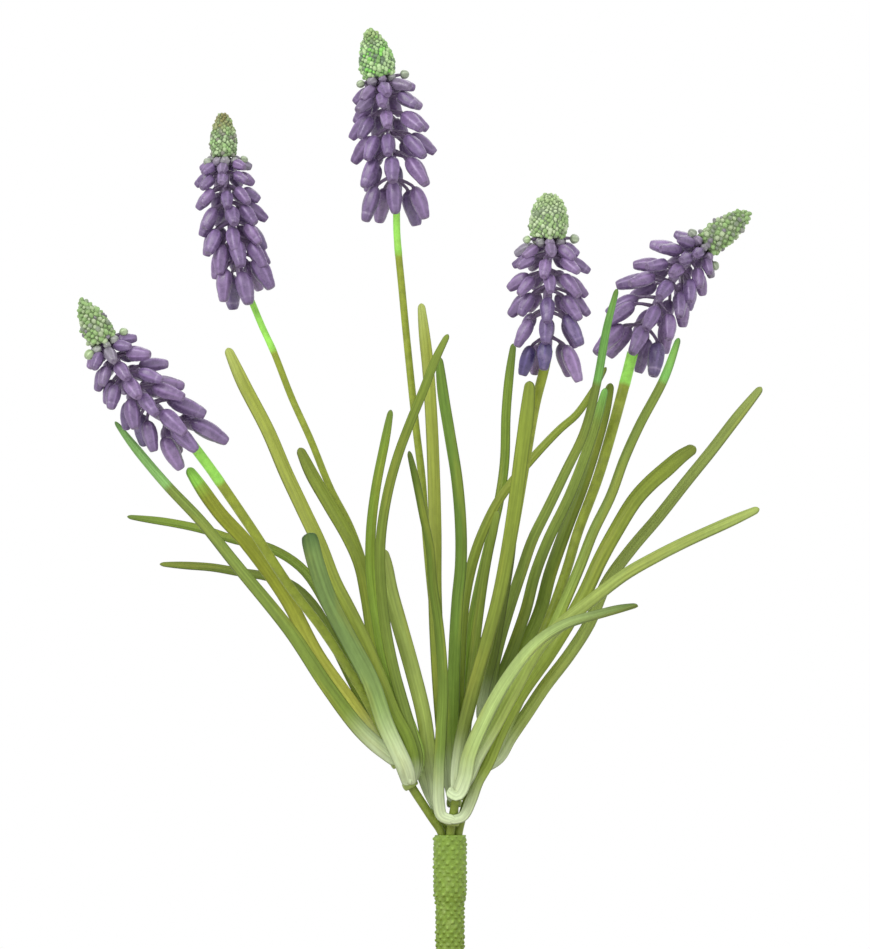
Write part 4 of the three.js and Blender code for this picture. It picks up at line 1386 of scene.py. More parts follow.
@dataclass
class BeadedTip(SubAssembly):
    """The unopened tip of a head: an egg packed with small round buds."""

    name: str
    head: FlowerHead
    seed: float
    gap: float = 0.3
    top_gap: float = 0.2
    core_drop: float = 0.6
    core_top: float = 0.99
    core_pointed: float = 0.6
    bead_drop: float = 0.4
    bead_seat: float = 1.03
    waist: float = 0.25
    tuck: float = 0.65
    crown: float = 1.02
    bluntest: float = 2.0
    least_radius: float = 0.12
    beaded: Pair = (0.02, 0.985)
    fineness: int = 400
    bead_sizes: Pair = (0.72, 1.34)
    upper_size: float = 0.8
    least_stand: float = 0.75
    bead_stretch: Pair = (0.85, 1.25)
    bead_spare: float = 1.1
    steepest: float = 1.6
    crown_from: Pair = (-0.15, 0.6)
    patch_swing: float = 0.3
    patch_spare: float = 0.55
    point_blend: float = 1.5
    point_power: float = 0.4
    bead_light: Pair = (0.88, 0.24)
    # painted shade in the gaps between the beads
    core_painted_shade: float = 0.8
    sides: int = 32
    rows: int = 30
    golden: float = 137.508

    def outline(self, share: Array) -> Array:
        """The egg's radius at shares of its height.

        Args:
            share: Shares from 0 at the base to 1 at the apex.

        Returns:
            A radius in millimetres for each share.
        """
        point = self.head.tip_point
        below = np.sqrt(1 - (self.tuck * np.clip(1 - share / self.waist, 0.0, 1.0)) ** 2)
        above = np.clip((share - self.waist) / (self.crown - self.waist), 0.0, 1.0) ** point
        return self.head.tip_radius * below * (1 - above) ** (1 / min(point, self.bluntest))

    def build(self) -> None:
        """Build the tip and dress it."""
        beading = self.head.look.value
        length = self.head.apex_point - self.head.top_point
        axis = unit(length)
        height = float(np.linalg.norm(length)) - self.gap - self.top_gap
        base = self.head.top_point + self.gap * axis
        share = np.linspace(0.0, self.core_top, self.rows)
        radii = np.maximum(self.outline(share) - beading.size, self.least_radius)
        centres = base + (share * (height - self.core_drop))[:, None] * axis
        rings = rings_round(centres, *sides_of(axis), round_radii(radii, self.sides))
        # painted shade: the egg is darker than the net, as it shows only deep in the gaps between the beads
        net = beading.net.linear() * self.core_painted_shade
        tint = mix(net, beading.point.linear(), ease(share, self.core_pointed, 1.0)[:, None])
        self.shells.add(loft(rings), over_shell(tint, np.ones((1, self.sides))))
        self._beads(base, axis, height)
        self.fit(f"beaded_tip_{self.name}", Finish.BUD, f"tip_{self.name}")

    def _beads(self, base: Array, axis: Array, height: float) -> None:
        """Pack buds over the egg in the spiral that sunflowers use.

        Args:
            base: The middle of the egg's base.
            axis: The egg's unit axis.
            height: The egg's height.
        """
        beading = self.head.look.value
        right, back = sides_of(axis)
        fine = np.linspace(*self.beaded, self.fineness)
        slope = np.gradient(self.outline(fine), fine * height)
        area = np.cumsum(self.outline(fine) * np.sqrt(1 + slope**2))
        shares = np.interp((np.arange(beading.count) + 0.5) / beading.count, area / area[-1], fine)
        ball_points, ball_faces = ball(sides=9, rows=6)
        lift = ease(ball_points[:, 2], *self.crown_from)[:, None]
        dull, gain = self.bead_light
        radii = self.outline(shares) - self.bead_seat * beading.size
        for k, (share, radius) in enumerate(zip(shares, radii)):
            jitter = spare(k * 7 + 5, self.bead_spare) * beading.size / self.head.tip_radius
            angle = math.radians(self.golden * k) + jitter
            out = math.cos(angle) * right + math.sin(angle) * back
            incline = float(np.clip(np.interp(share, fine, slope), -self.steepest, self.steepest))
            normal = unit(out - incline * axis)
            along = unit(axis + incline * out)
            side = np.cross(normal, along)
            size = beading.size * mix(*self.bead_sizes, chance(k * 3 + 1)) * mix(1.0, self.upper_size, share)
            stand = size * mix(self.least_stand, beading.stand, chance(k * 11 + 4))
            seat = base + share * (height - self.bead_drop) * axis + radius * out
            long = mix(*self.bead_stretch, chance(k * 13 + 6))
            points = seat + ball_points @ np.array([side * size / long, along * size * long, normal * stand])
            tint = mix(beading.net.linear(), self._crown(k, share, angle), lift)
            self.shells.add((points, ball_faces), tint * (dull + gain * chance(k * 5 + 9)))

    def _crown(self, k: int, share: float, angle: float) -> Array:
        """Pick the paint of a bead's crown, in patches over the egg.

        Args:
            k: The bead's number.
            share: The share of the egg's height that it sits at.
            angle: Its angle round the egg.

        Returns:
            A linear colour, nearer the point's own towards the apex.
        """
        beading = self.head.look.value
        swing = self.patch_swing * math.sin(3 * angle + 9 * share)
        patch = 0.5 + swing * math.cos(7 * share - 2 * angle + self.seed)
        pick = np.clip(patch + spare(k * 5 + 2, self.patch_spare), 0.0, 0.999)
        crown = beading.crowns[int(pick * len(beading.crowns))].linear()
        pointed = ease(share, beading.point_from, self.point_blend * beading.point_from)
        return mix(crown, beading.point.linear(), pointed * chance(k * 17 + 3) ** self.point_power)


# ------------ leaf tufts


@dataclass(frozen=True)
class Run:
    """The paints of a leaf from its lower part to its upper part and its tip."""

    low: Paint
    high: Paint
    tip: Paint


class LeafTone(Enum):
    """The greens that the leaves are moulded in."""

    OLIVE = Run(Paint(116, 132, 58), Paint(132, 148, 56), Paint(122, 136, 56))
    SPRING = Run(Paint(121, 146, 64), Paint(116, 140, 50), Paint(104, 126, 54))
    DEEP = Run(Paint(95, 112, 48), Paint(107, 124, 48), Paint(121, 138, 58))
    LIGHT = Run(Paint(109, 134, 46), Paint(150, 160, 68), Paint(168, 180, 96))
    GREY = Run(Paint(148, 174, 100), Paint(118, 144, 80), Paint(82, 112, 62))
    LIME = Run(Paint(170, 192, 117), Paint(172, 194, 119), Paint(98, 120, 58))
    GOLD = Run(Paint(186, 184, 92), Paint(142, 150, 51), Paint(152, 214, 88))
    MEADOW = Run(Paint(139, 154, 79), Paint(142, 158, 80), Paint(147, 162, 86))
    TEAL = Run(Paint(122, 147, 56), Paint(120, 153, 64), Paint(118, 148, 58))
    TEAL_TIP = Run(Paint(130, 154, 58), Paint(136, 158, 74), Paint(144, 194, 110))
    BRIGHT_TIP = Run(Paint(110, 128, 56), Paint(127, 146, 66), Paint(126, 184, 92))


@dataclass(frozen=True)
class Leaf:
    """One strap leaf: its widths and rolls from root to tip, its greens and its route.

    It starts some way right of and over its collar's middle, is pale for some millimetres from
    its root, and may be dipped in its tip's paint from a height on.
    """

    width: Pair
    roll: Pair
    tone: LeafTone
    route: tuple[Triple, ...]
    square: bool = False
    fold: float = -0.13
    tip: float = 0.6
    start: Pair = (0.0, 0.0)
    pale: float = 18.0
    tip_from: float = 0.9
    # painted light and shade: factors that lighten or darken the leaf's paint at its lower and upper part,
    # for the light that reaches it among the other leaves
    light: Pair = (1.0, 1.0)
    dip: float | None = None


@dataclass
class LeafTuft(SubAssembly):
    """Leaves that grow from one collar, threaded on a stalk."""

    name: str
    stalk: FlowerStalk
    height: float
    leaves: tuple[Leaf, ...]
    gap: float = 0.3
    collar_wall: float = 0.6
    collar_height: float = 2.0
    collar_sides: int = 40
    collar_rows: int = 16
    side_margin: float = 0.5
    root_share: float = 0.82
    root_widening: Pair = (0.0, 0.07)
    root_rounding: float = 1.4
    tip_rounding: float = 1.3
    least_end: float = 0.02
    square_rounding: float = 0.8
    taper_from: float = 0.9
    square_from: float = 0.96
    square_tip: float = 0.75
    thickness: float = 0.95
    root_thickness: float = 1.4
    root_thinning: float = 5.0
    end_thickness: float = 0.4
    edge: float = 0.62
    edge_power: float = 1.3
    fold_power: float = 1.7
    inner_edge: float = 0.97
    columns: int = 21
    under_columns: int = 11
    least_rows: int = 24
    row_crowding: float = 0.13
    step_length: float = 1.2
    ribs: float = 3.0
    rib_height: float = 0.02
    ribs_from: Pair = (0.04, 0.12)
    bore_steps: int = 600
    least_distance: float = 0.05
    # painted highlight: how much lighter each leaf is down its middle
    midrib_painted_highlight: float = 0.12
    midrib_width: float = 0.22
    painted_light_from: Pair = (0.2, 0.65)
    high_from: float = 0.6
    greening_from: float = 0.15
    dip_blend: float = 0.4
    dip_end_shade: float = 0.62
    root_paint: Paint = Paint(199, 214, 170)
    collar_paint: Paint = Paint(150, 168, 92)

    def build(self) -> None:
        """Build the collar and its leaves and dress them."""
        share = self.stalk.line.share_at_height(self.height)
        centre = self.stalk.line.at(np.array([share]))[0]
        axis = self.stalk.line.heading(np.array([share]))[0]
        bore = float(self.stalk.radius(share)) + self.gap
        self._collar(centre, axis, bore)
        for number, leaf in enumerate(self.leaves):
            self._leaf(leaf, centre, bore + self.collar_wall, number)
        self.fit(f"leaves_{self.name}", Finish.LEAF, f"leaf_tuft_{self.name}")

    def _collar(self, centre: Array, axis: Array, bore: float) -> None:
        """Add the ring that the leaves grow from, as a rounded torus round the stalk.

        Args:
            centre: The ring's middle.
            axis: The stalk's direction there.
            bore: The radius of the ring's hole.
        """
        rows, sides = self.collar_rows, self.collar_sides
        turn = angles(rows)
        wall = self.collar_wall / 2
        radii = bore + wall + wall * np.cos(turn)
        drop = self.collar_height / 2 * np.sin(turn)
        rings = rings_round(centre + drop[:, None] * axis, *sides_of(axis), round_radii(radii, sides))
        row, side = np.divmod(np.arange(rows * sides), sides)
        next_row, next_side = (row + 1) % rows * sides, (side + 1) % sides
        row = row * sides
        quads = np.stack([row + side, row + next_side, next_row + next_side, next_row + side], axis=-1)
        self.shells.add((rings.reshape(-1, 3), quads.tolist()), self.collar_paint.linear())

    def _half_width(self, leaf: Leaf, share: Array) -> Array:
        """Half the leaf's width along it, before its ends are rounded.

        Args:
            leaf: The leaf.
            share: Shares from 0 at the root to 1 at the tip.

        Returns:
            Half widths in millimetres.
        """
        straight = mix(self.root_share, 1.0, ease(share, *self.root_widening)) * mix(*leaf.width, share) / 2
        start = self.square_from if leaf.square else self.taper_from
        taper = np.clip((share - start) / (1 - start), 0.0, 1.0)
        return straight * mix(1.0, self.square_tip if leaf.square else leaf.tip, taper * taper)

    def _rounding(self, leaf: Leaf, along: Array, length: float) -> Array:
        """How far the leaf's outline has swung out from its rounded root and tip.

        Args:
            leaf: The leaf.
            along: The millimetres from its root.
            length: Its whole length in millimetres.

        Returns:
            Shares of the full width, small at both ends.
        """
        root = np.clip(along / self.root_rounding, 0.0, 1.0)
        tip = (length - along) / (self.square_rounding if leaf.square else self.tip_rounding)
        near = np.minimum(root, np.clip(tip, 0.0, 1.0))
        return np.sqrt(np.maximum(1 - (1 - near) ** 2, self.least_end))

    def _section(self, leaf: Leaf, share: Array, rounding: Array, half: Array) -> tuple[Array, Array]:
        """The leaf's cross-sections: over its upper face, round its edge and back below.

        Args:
            leaf: The leaf.
            share: The share of its length, by row.
            rounding: How far its outline has swung out, by row.
            half: Half its width, by row.

        Returns:
            The places across, -1 to 1, and the heights over its line, by row and column.
        """
        top = np.linspace(-self.inner_edge, self.inner_edge, self.columns)
        under = np.linspace(self.inner_edge, -self.inner_edge, self.under_columns)
        across = np.concatenate([top, [1.0], under, [-1.0]])[None, :]
        level = np.concatenate([np.zeros(self.columns), [0.5], np.ones(self.under_columns), [0.5]])[None, :]
        thinned = mix(self.end_thickness, 1.0, rounding)
        rooted = np.minimum(1.0, share * self.root_thinning)
        thick = mix(self.root_thickness, self.thickness, rooted) * thinned
        surface = leaf.fold * 2 * half * (np.abs(across) ** self.fold_power - 0.5)
        depth = mix(thick, self.edge * thinned, np.abs(across) ** self.edge_power)
        ribs = self.rib_height * np.sin(across * self.ribs * math.pi) * (1 - level)
        return across, surface - depth * level + ribs * ease(share, *self.ribs_from) + thick / 2

    def _leaf(self, leaf: Leaf, root: Array, offset: float, number: int) -> None:
        """Add one folded strap that grows from the stalk's front or back.

        Args:
            leaf: The leaf.
            root: The collar's middle.
            offset: How far before or behind the stalk's middle the leaf starts.
            number: The leaf's number in the tuft.
        """
        route = Opening().place(leaf.route)
        side = 1 if route[0, 1] > root[1] + self.side_margin else -1
        path = Route(np.vstack([root + (leaf.start[0], side * offset, leaf.start[1]), route]))
        even = np.linspace(0.0, 1.0, max(self.least_rows, round(path.length / self.step_length)))
        share = even - self.row_crowding * np.sin(math.tau * even)
        along = share * path.length
        centres = path.at(share)
        right, back = sides_of(path.heading(share))
        roll = np.radians(mix(*leaf.roll, share))[:, None]
        wide = right * np.cos(roll) - back * np.sin(roll)
        face = -back * np.cos(roll) - right * np.sin(roll)
        rounding = self._rounding(leaf, along, path.length)[:, None]
        half = self._half_width(leaf, share)[:, None] * rounding
        across, lift = self._section(leaf, share[:, None], rounding, half)
        rings = centres[:, None, :] + (across * half)[:, :, None] * wide[:, None, :]
        rings = rings + lift[:, :, None] * face[:, None, :]
        own_grain = float(number + len(self.name))
        place = np.stack(np.broadcast_arrays(across, along[:, None], own_grain), axis=-1)
        place = np.vstack([place.reshape(-1, 3), place[0].mean(axis=0), place[-1].mean(axis=0)])
        tints = self._tints(leaf, share, along, across, centres[:, 2])
        self.shells.add(loft(self._round_stalk(rings)), tints, place)

    def _round_stalk(self, rings: Array) -> Array:
        """Push a leaf's root out of the stalk's bore.

        Args:
            rings: The leaf's points by ring and by side.

        Returns:
            The same rings, with none of their points in the bore.
        """
        share = np.linspace(0.0, 1.0, self.bore_steps)
        stalk = self.stalk.line.at(share)
        bore = self.stalk.radius(share) + self.gap
        flat = rings.reshape(-1, 3)
        nearest = np.argmin(np.linalg.norm(flat[:, None, :] - stalk[None, :, :], axis=-1), axis=1)
        away = flat - stalk[nearest]
        distance = np.linalg.norm(away, axis=1, keepdims=True)
        clear = np.maximum(distance, bore[nearest][:, None])
        pushed = stalk[nearest] + away / np.maximum(distance, self.least_distance) * clear
        return pushed.reshape(rings.shape)

    def _tints(self, leaf: Leaf, share: Array, along: Array, across: Array, height: Array) -> Array:
        """Colour a leaf's points.

        Args:
            leaf: The leaf.
            share: The share of its length at each ring.
            along: The millimetres from its root at each ring.
            across: The place across, -1 to 1, at each side.
            height: The height of each ring.

        Returns:
            A row of linear colour for each point.
        """
        run = leaf.tone.value
        stops = (0.0, self.high_from, leaf.tip_from, 1.0)
        paints = np.array([paint.linear() for paint in (run.low, run.high, run.high, run.tip)])
        tint = np.stack([np.interp(share, stops, paints[:, k]) for k in range(3)], axis=-1)
        # painted light and shade: each leaf's light factors, blended from its lower to its upper part
        tint = tint * mix(*leaf.light, ease(share, *self.painted_light_from))[:, None]
        if leaf.dip is not None:
            end_shade = mix(1.0, self.dip_end_shade, ease(share, self.square_from, 1.0))
            dipped = ease(height, leaf.dip - self.dip_blend, leaf.dip + self.dip_blend)
            tint = mix(tint, run.tip.linear() * end_shade[:, None], dipped[:, None])
        greened = ease(along, self.greening_from * leaf.pale, leaf.pale)
        tint = mix(self.root_paint.linear(), tint, greened[:, None])
        # painted highlight: a lighter stripe down each leaf's middle, where the rounded strap catches the
        # light
        return over_shell(tint, 1 + self.midrib_painted_highlight * np.exp(-((across / self.midrib_width) ** 2)))


# ------------ the spray's places

# How far apart the heads' small irregularities are drawn.
FLORET_SEED = 170.0
TIP_SEED = 2.3

# Each stalk has its head, its radii at foot and top, where its lime neck starts, and its route.
LEFT_LOW = FlowerStalk(
    name="left_low", radii=(1.05, 1.3), neck_from=203.2,
    head=FlowerHead(
        apex=(-92.1, -24.5, 249.2), top=(-86.1, -23, 238.2), low=(-61.8, -16.6, 211.2),
        look=TipLook.KNOBBED, tip_radius=3.9, tip_point=1.4, rows=6,
        lengths=(5.0, 9.2), stands=(2.6, 4.5), fling=1.5, low_droop=66.0, reach=0.76,
    ),
    route=(
        (-1.95, -0.65, 112.2), (-2, -0.7, 115.2), (-5, -1.2, 120), (-10, -1.8, 127.75), (-13, -2.1, 133.2),
        (-22.25, -4.6, 151.25), (-32.25, -7, 167), (-39.75, -8.8, 176.75), (-49.25, -11.5, 191.25),
        (-55.5, -13.6, 200.5), (-60, -15.4, 207),
    ),
)
LEFT_HIGH = FlowerStalk(
    name="left_high", radii=(1.05, 0.8), neck_from=236.2,
    head=FlowerHead(
        apex=(-57.1, 18.6, 296.5), top=(-56.7, 18.4, 284.6), low=(-51, 17.1, 249),
        look=TipLook.BROWNED, tip_radius=3.5, tip_point=1.85, rows=7,
        lengths=(4.0, 8.4), stands=(2.8, 4.6), fling=0.0, low_droop=72.0, reach=0.75,
    ),
    route=(
        (-1.25, 1.7, 112.2), (-1.4, 1.8, 115.4), (-5.2, 2.8, 128), (-11, 5, 147), (-18.75, 7.5, 173.75),
        (-24.75, 9.5, 191.5), (-30, 11, 201.75), (-35, 12.5, 214), (-39.75, 14, 224.5), (-44.25, 15.3, 236),
        (-47.2, 16, 242.4), (-49.8, 16.8, 248.6),
    ),
)
MIDDLE = FlowerStalk(
    name="middle", radii=(1.05, 0.88), neck_from=260.5,
    head=FlowerHead(
        apex=(-20.3, 19.6, 317.5), top=(-17.5, 19, 304.6), low=(-13.1, 16.8, 268.5),
        look=TipLook.NETTED, tip_radius=4.6, tip_point=1.6, rows=6,
        lengths=(5.5, 8.8), stands=(3.4, 5.4), fling=0.6, low_droop=68.0, reach=0.72,
    ),
    route=(
        (1.25, 1.7, 112.2), (1.25, 1.8, 115.4), (0.8, 3.7, 128), (-0.8, 5.6, 145), (-2.8, 7, 160),
        (-4.6, 8.2, 175), (-6, 9.2, 190), (-7, 10.4, 204), (-8.5, 11.6, 216.75), (-10.75, 13.8, 238.25),
        (-12, 15, 251.25), (-13.3, 16.4, 265.5),
    ),
)
FRONT = FlowerStalk(
    name="front", radii=(1.05, 1.25), neck_from=234.0,
    head=FlowerHead(
        apex=(24.8, -16.4, 275.5), top=(24.5, -15.8, 264), low=(24.4, -13.4, 232),
        look=TipLook.FROSTED, tip_radius=4.9, tip_point=2.2, rows=6,
        lengths=(5.2, 7.6), stands=(3.5, 4.8), fling=2.5, low_droop=70.0, reach=0.78, inked=(0, 4),
    ),
    route=(
        (0, -2.15, 112.2), (0.05, -2.25, 115.2), (0.5, -3, 118.5), (1.6, -3.9, 125), (3.2, -3.9, 138),
        (9.5, -4.3, 162.5), (14, -5.4, 181), (16.6, -6.8, 195), (18.9, -8.6, 208.75), (21.3, -10.8, 222.75),
        (23.5, -12.8, 231.5),
    ),
)
RIGHT = FlowerStalk(
    name="right", radii=(1.05, 1.4), neck_from=227.5,
    head=FlowerHead(
        apex=(75.5, 18, 271.4), top=(63.7, 16.4, 262.2), low=(44, 10.2, 230.8),
        look=TipLook.KNOBBED, tip_radius=3.8, tip_point=1.75, rows=6,
        lengths=(5.0, 8.5), stands=(3.3, 5.2), fling=-2.0, low_droop=66.0, reach=0.7,
    ),
    route=(
        (2, -0.7, 112.2), (2.1, -0.7, 115.4), (6.5, -0.9, 130.75), (9, -0.6, 137), (15, 0, 149.5),
        (22.5, 0.8, 163.75), (28.75, 2, 180), (32, 3, 190.75), (37, 5, 204.25), (41.1, 7.4, 218),
        (43.8, 9.4, 228),
    ),
)
STALKS = (LEFT_LOW, LEFT_HIGH, MIDDLE, FRONT, RIGHT)

# The leaf tufts from left to right, each with its stalk and the height of its collar.
LEFT_OUTER = LeafTuft("left_outer", LEFT_LOW, 133.2, (
    Leaf((4.2, 2.2), (-10, -30), LeafTone.TEAL_TIP, pale=20.0, light=(0.8, 0.8), dip=202.0, tip=0.35, route=(
        (-15.6, -4.6, 135.2), (-22.4, -6.4, 141.4), (-31, -9, 152.8), (-39.8, -11, 166),
        (-53.3, -13.4, 182.6), (-62, -14.4, 193.4), (-70.5, -15, 202.4), (-78, -15.2, 211.25),
        (-83.5, -15, 218.25),
    )),
    Leaf((4.2, 3.6), (-10, -25), LeafTone.GOLD, light=(1.4, 1.1), dip=202.7, route=(
        (-16.9, -1, 137), (-25.7, -0.6, 149.2), (-33.3, -0.8, 160), (-41, -1.6, 174.5), (-50.75, -2.6, 188),
        (-57.75, -3.4, 195.75), (-65.5, -4.4, 206.75),
    )),
    Leaf((3, 1.9), (0, -20), LeafTone.SPRING, light=(1.1, 0.95), tip=0.45, route=(
        (-15.8, 1.6, 139.5), (-19.6, 3, 147), (-24.5, 5, 158.75), (-30.3, 7, 171.25), (-36.75, 9.4, 181.25),
        (-45, 12, 186.6), (-54.5, 14, 188.9), (-61.5, 15.4, 191.2), (-70, 17, 193), (-81, 18.6, 194.5),
    )),
    Leaf((3, 1.9), (0, -20), LeafTone.DEEP, light=(1.15, 0.9), tip=0.45, route=(
        (-16.8, 1.2, 139.5), (-23.25, 2.4, 151.25), (-27.75, 3.4, 160.25), (-33.5, 5.4, 171.5),
        (-39.25, 7.4, 177.2), (-46, 9.6, 179.6), (-52.5, 11.2, 180.6), (-59.5, 12.6, 181.8),
        (-66.5, 13.6, 182.3), (-72.75, 14.2, 182.6),
    )),
))
LEFT_FRONT = LeafTuft("left_front", LEFT_LOW, 127.75, (
    Leaf(
        (4.4, 4.4), (10, -12), LeafTone.GREY, pale=24.0, tip_from=0.92, light=(1.05, 0.9),
        square=True, fold=0.17, route=(
            (-11.2, -6.6, 132), (-16, -8.4, 142.5), (-19.75, -9.8, 153.5), (-25, -11.6, 163.5),
            (-30.2, -13.4, 173.5), (-33.7, -15.2, 183.5), (-35.4, -16.4, 190.5),
        ),
    ),
    Leaf((4, 3.4), (0, -20), LeafTone.LIGHT, pale=8.0, light=(0.95, 0.95), route=(
        (-9.4, -5.6, 132.6), (-10.75, -6.4, 138.75), (-14.25, -6.6, 145.5), (-17.75, -6.6, 154.5),
        (-21.5, -6.6, 163.5), (-25.4, -6.4, 171.5), (-29, -5.8, 178.5), (-32.5, -4.6, 187.5),
        (-36.75, -2.6, 196.5), (-41, -0.4, 205.5), (-45.5, 2, 216), (-51.75, 5, 228), (-55.75, 7, 236.75),
    )),
    Leaf((3.2, 2.2), (0, 0), LeafTone.SPRING, pale=7.0, light=(1.8, 1.15), route=(
        (-7.8, -3.3, 133.8), (-10.05, -3.4, 142.5), (-13, -3.6, 149), (-16, -3.6, 157.25),
        (-18.25, -4, 168.75), (-19.75, -4.8, 180.25), (-19.75, -6.2, 191), (-18.5, -8, 201.75),
        (-16.25, -10, 213.25), (-14.75, -11.4, 221.25),
    )),
    Leaf((3, 2.2), (0, 10), LeafTone.DEEP, pale=7.0, light=(1.25, 1.1), route=(
        (-8.1, -4.8, 133.4), (-10.2, -5.4, 142), (-13.4, -5.8, 153.75), (-16, -6.8, 166.25),
        (-17.3, -8.4, 178.75), (-17.3, -10.2, 188.75), (-15.75, -12.4, 199.5), (-13.25, -14.4, 209),
        (-10.25, -16.4, 217.25), (-6.75, -18.4, 225.75), (-3.5, -20.2, 234), (-0.5, -21.6, 240),
    )),
))
MIDDLE_FRONT = LeafTuft("middle_front", FRONT, 118.5, (
    Leaf((3.2, 1.8), (0, 10), LeafTone.SPRING, pale=22.0, light=(0.9, 0.7), start=(0.9, 0.1), route=(
        (-2, -4.2, 119.8), (-2.8, -4.7, 123), (-2.8, -5, 131.25), (-2.25, -5.2, 140.25),
        (-1.75, -5.6, 153.5), (-2.75, -6.2, 167), (-4.3, -6.8, 178), (-5, -7.6, 186.75),
        (-6.75, -8.6, 195.25), (-8.5, -9.6, 203.75), (-10.25, -10.6, 211),
    )),
    Leaf((2.8, 4.4), (10, 25), LeafTone.OLIVE, light=(1.5, 0.85), start=(-0.9, 0.1), route=(
        (3.2, -4.2, 119.6), (5.2, -4.7, 123.5), (7, -5.1, 128.5), (9.4, -4.9, 132.8), (13.2, -5.4, 141.75),
        (18, -5.6, 150.5), (25.25, -5.4, 161), (33.4, -4, 175), (37.5, -2.6, 183.8), (41.2, -1, 190.6),
        (46.2, 0.9, 198.7), (50, 2, 202.9), (54, 3.2, 206.4), (57.6, 4.3, 209.5), (61.4, 5.6, 212),
    )),
))
MIDDLE_LEFT = LeafTuft("middle_left", LEFT_HIGH, 121.2, (
    Leaf((3.4, 3.4), (0, -15), LeafTone.OLIVE, light=(1.9, 0.85), route=(
        (-4.4, 0.6, 124.2), (-6.2, 0.8, 128.8), (-8.2, 0.8, 134), (-10.9, 0.6, 142), (-14.6, 0.8, 151.25),
        (-18.8, 1, 163), (-20.6, 1.2, 173.75), (-22.4, 1.8, 182.5), (-25.2, 2.8, 189), (-30, 4.4, 197.25),
        (-34.6, 6, 205.2), (-37.75, 7.2, 211.75),
    )),
    Leaf((3.6, 4.2), (0, 0), LeafTone.MEADOW, light=(1.6, 1.2), route=(
        (-3.8, 0.2, 127), (-5, 0.2, 134), (-6.6, -0.6, 145), (-9.4, -0.8, 156.25), (-12.6, -0.8, 167.5),
        (-15.2, -0.8, 176.75), (-17, -0.8, 186.5),
    )),
))
MIDDLE_BACK = LeafTuft("middle_back", MIDDLE, 123.0, (
    Leaf((3.8, 2.9), (0, -10), LeafTone.LIGHT, light=(0.95, 0.95), route=(
        (-1, 2.2, 134.5), (-1.8, 2.4, 142), (-3, 3.4, 158), (-3.75, 4.6, 175), (-3.75, 6, 191),
        (-4.25, 8, 210.25), (-4.75, 9.2, 221), (-5.5, 10.6, 232), (-6.5, 12, 241), (-7.25, 13.2, 248),
    )),
    Leaf((3.2, 2.8), (0, 10), LeafTone.TEAL, light=(1.0, 0.75), route=(
        (0.6, 1.4, 136), (0.8, 0.8, 147.75), (1.25, 0.6, 163.25), (1.9, 0.6, 174), (2.7, 0.4, 182.5),
        (2.7, 0, 192), (1.75, -0.8, 203.75), (0, -1.6, 214.75), (-1.75, -2.4, 225.5), (-2.75, -3, 234.5),
    )),
    Leaf((3.8, 1.6), (0, 20), LeafTone.OLIVE, light=(1.6, 0.95), route=(
        (1.8, 3.4, 140), (2, 4, 150), (2.6, 4.6, 163.25), (3.7, 5.2, 174.25), (5.75, 6, 183.5),
        (8.5, 6.8, 191.25), (12.75, 7.8, 199.5), (20.5, 9.2, 209), (27.5, 10.2, 216.4), (31.8, 10.8, 220.2),
        (35.8, 11.4, 226), (39.2, 11.8, 232),
    )),
    Leaf((2.8, 2.3), (0, 10), LeafTone.SPRING, light=(1.5, 0.95), route=(
        (2, 5.6, 138), (3, 7.6, 150), (5, 9.6, 165), (7.6, 11.6, 178), (10.4, 13.4, 190), (12.6, 14.8, 200),
        (13.75, 16, 208.75), (14.1, 17.2, 220.5), (14.9, 18.2, 229.75), (16, 19, 238),
    )),
    Leaf((2.9, 2.2), (0, 15), LeafTone.DEEP, light=(1.15, 1.15), route=(
        (3.6, 2, 139), (5.1, 1.6, 151.25), (7, 1.4, 168.75), (9.25, 1.4, 183.75), (12, 1.4, 196),
    )),
))
RIGHT_FRONT = LeafTuft("right_front", FRONT, 125.0, (
    Leaf((3, 3.8), (0, 12), LeafTone.OLIVE, light=(0.75, 0.95), route=(
        (1.5, -6.2, 129), (2.6, -6.9, 138.25), (5.6, -7.3, 151), (8.9, -7.8, 162.5), (12, -8.8, 174),
        (14, -9.8, 184), (15.8, -11, 195), (17.6, -12.6, 208.75), (19.3, -14.1, 221.5), (19.9, -15, 228.4),
    )),
    Leaf(
        (4.2, 3), (14, 60), LeafTone.LIME, pale=16.0, tip_from=0.6, light=(0.95, 0.95),
        fold=0.17, tip=0.25, start=(-2.1, 1.3), route=(
            (1.8, -6.8, 125.3), (3.7, -7.8, 129), (4.9, -9, 134.8), (8.75, -10.8, 143.75),
            (14.5, -12.8, 154), (21, -15, 162.25), (28.25, -17.6, 167.25), (38.5, -20.6, 170.4),
            (46.75, -23, 172.5),
        ),
    ),
    Leaf((3.8, 2.8), (12, 30), LeafTone.MEADOW, pale=24.0, light=(1.45, 1.05), route=(
        (4.4, -6.6, 129.4), (6.4, -7.6, 134), (11.5, -8.6, 143), (16.25, -9.4, 151.75), (22.5, -10.6, 162.5),
        (28.25, -11.6, 168.25), (34.25, -12.6, 173), (43.5, -14, 180.1), (51.5, -15, 184.7),
        (59, -16, 188.5), (68, -17.2, 192.6), (77, -18.2, 196.6),
    )),
))
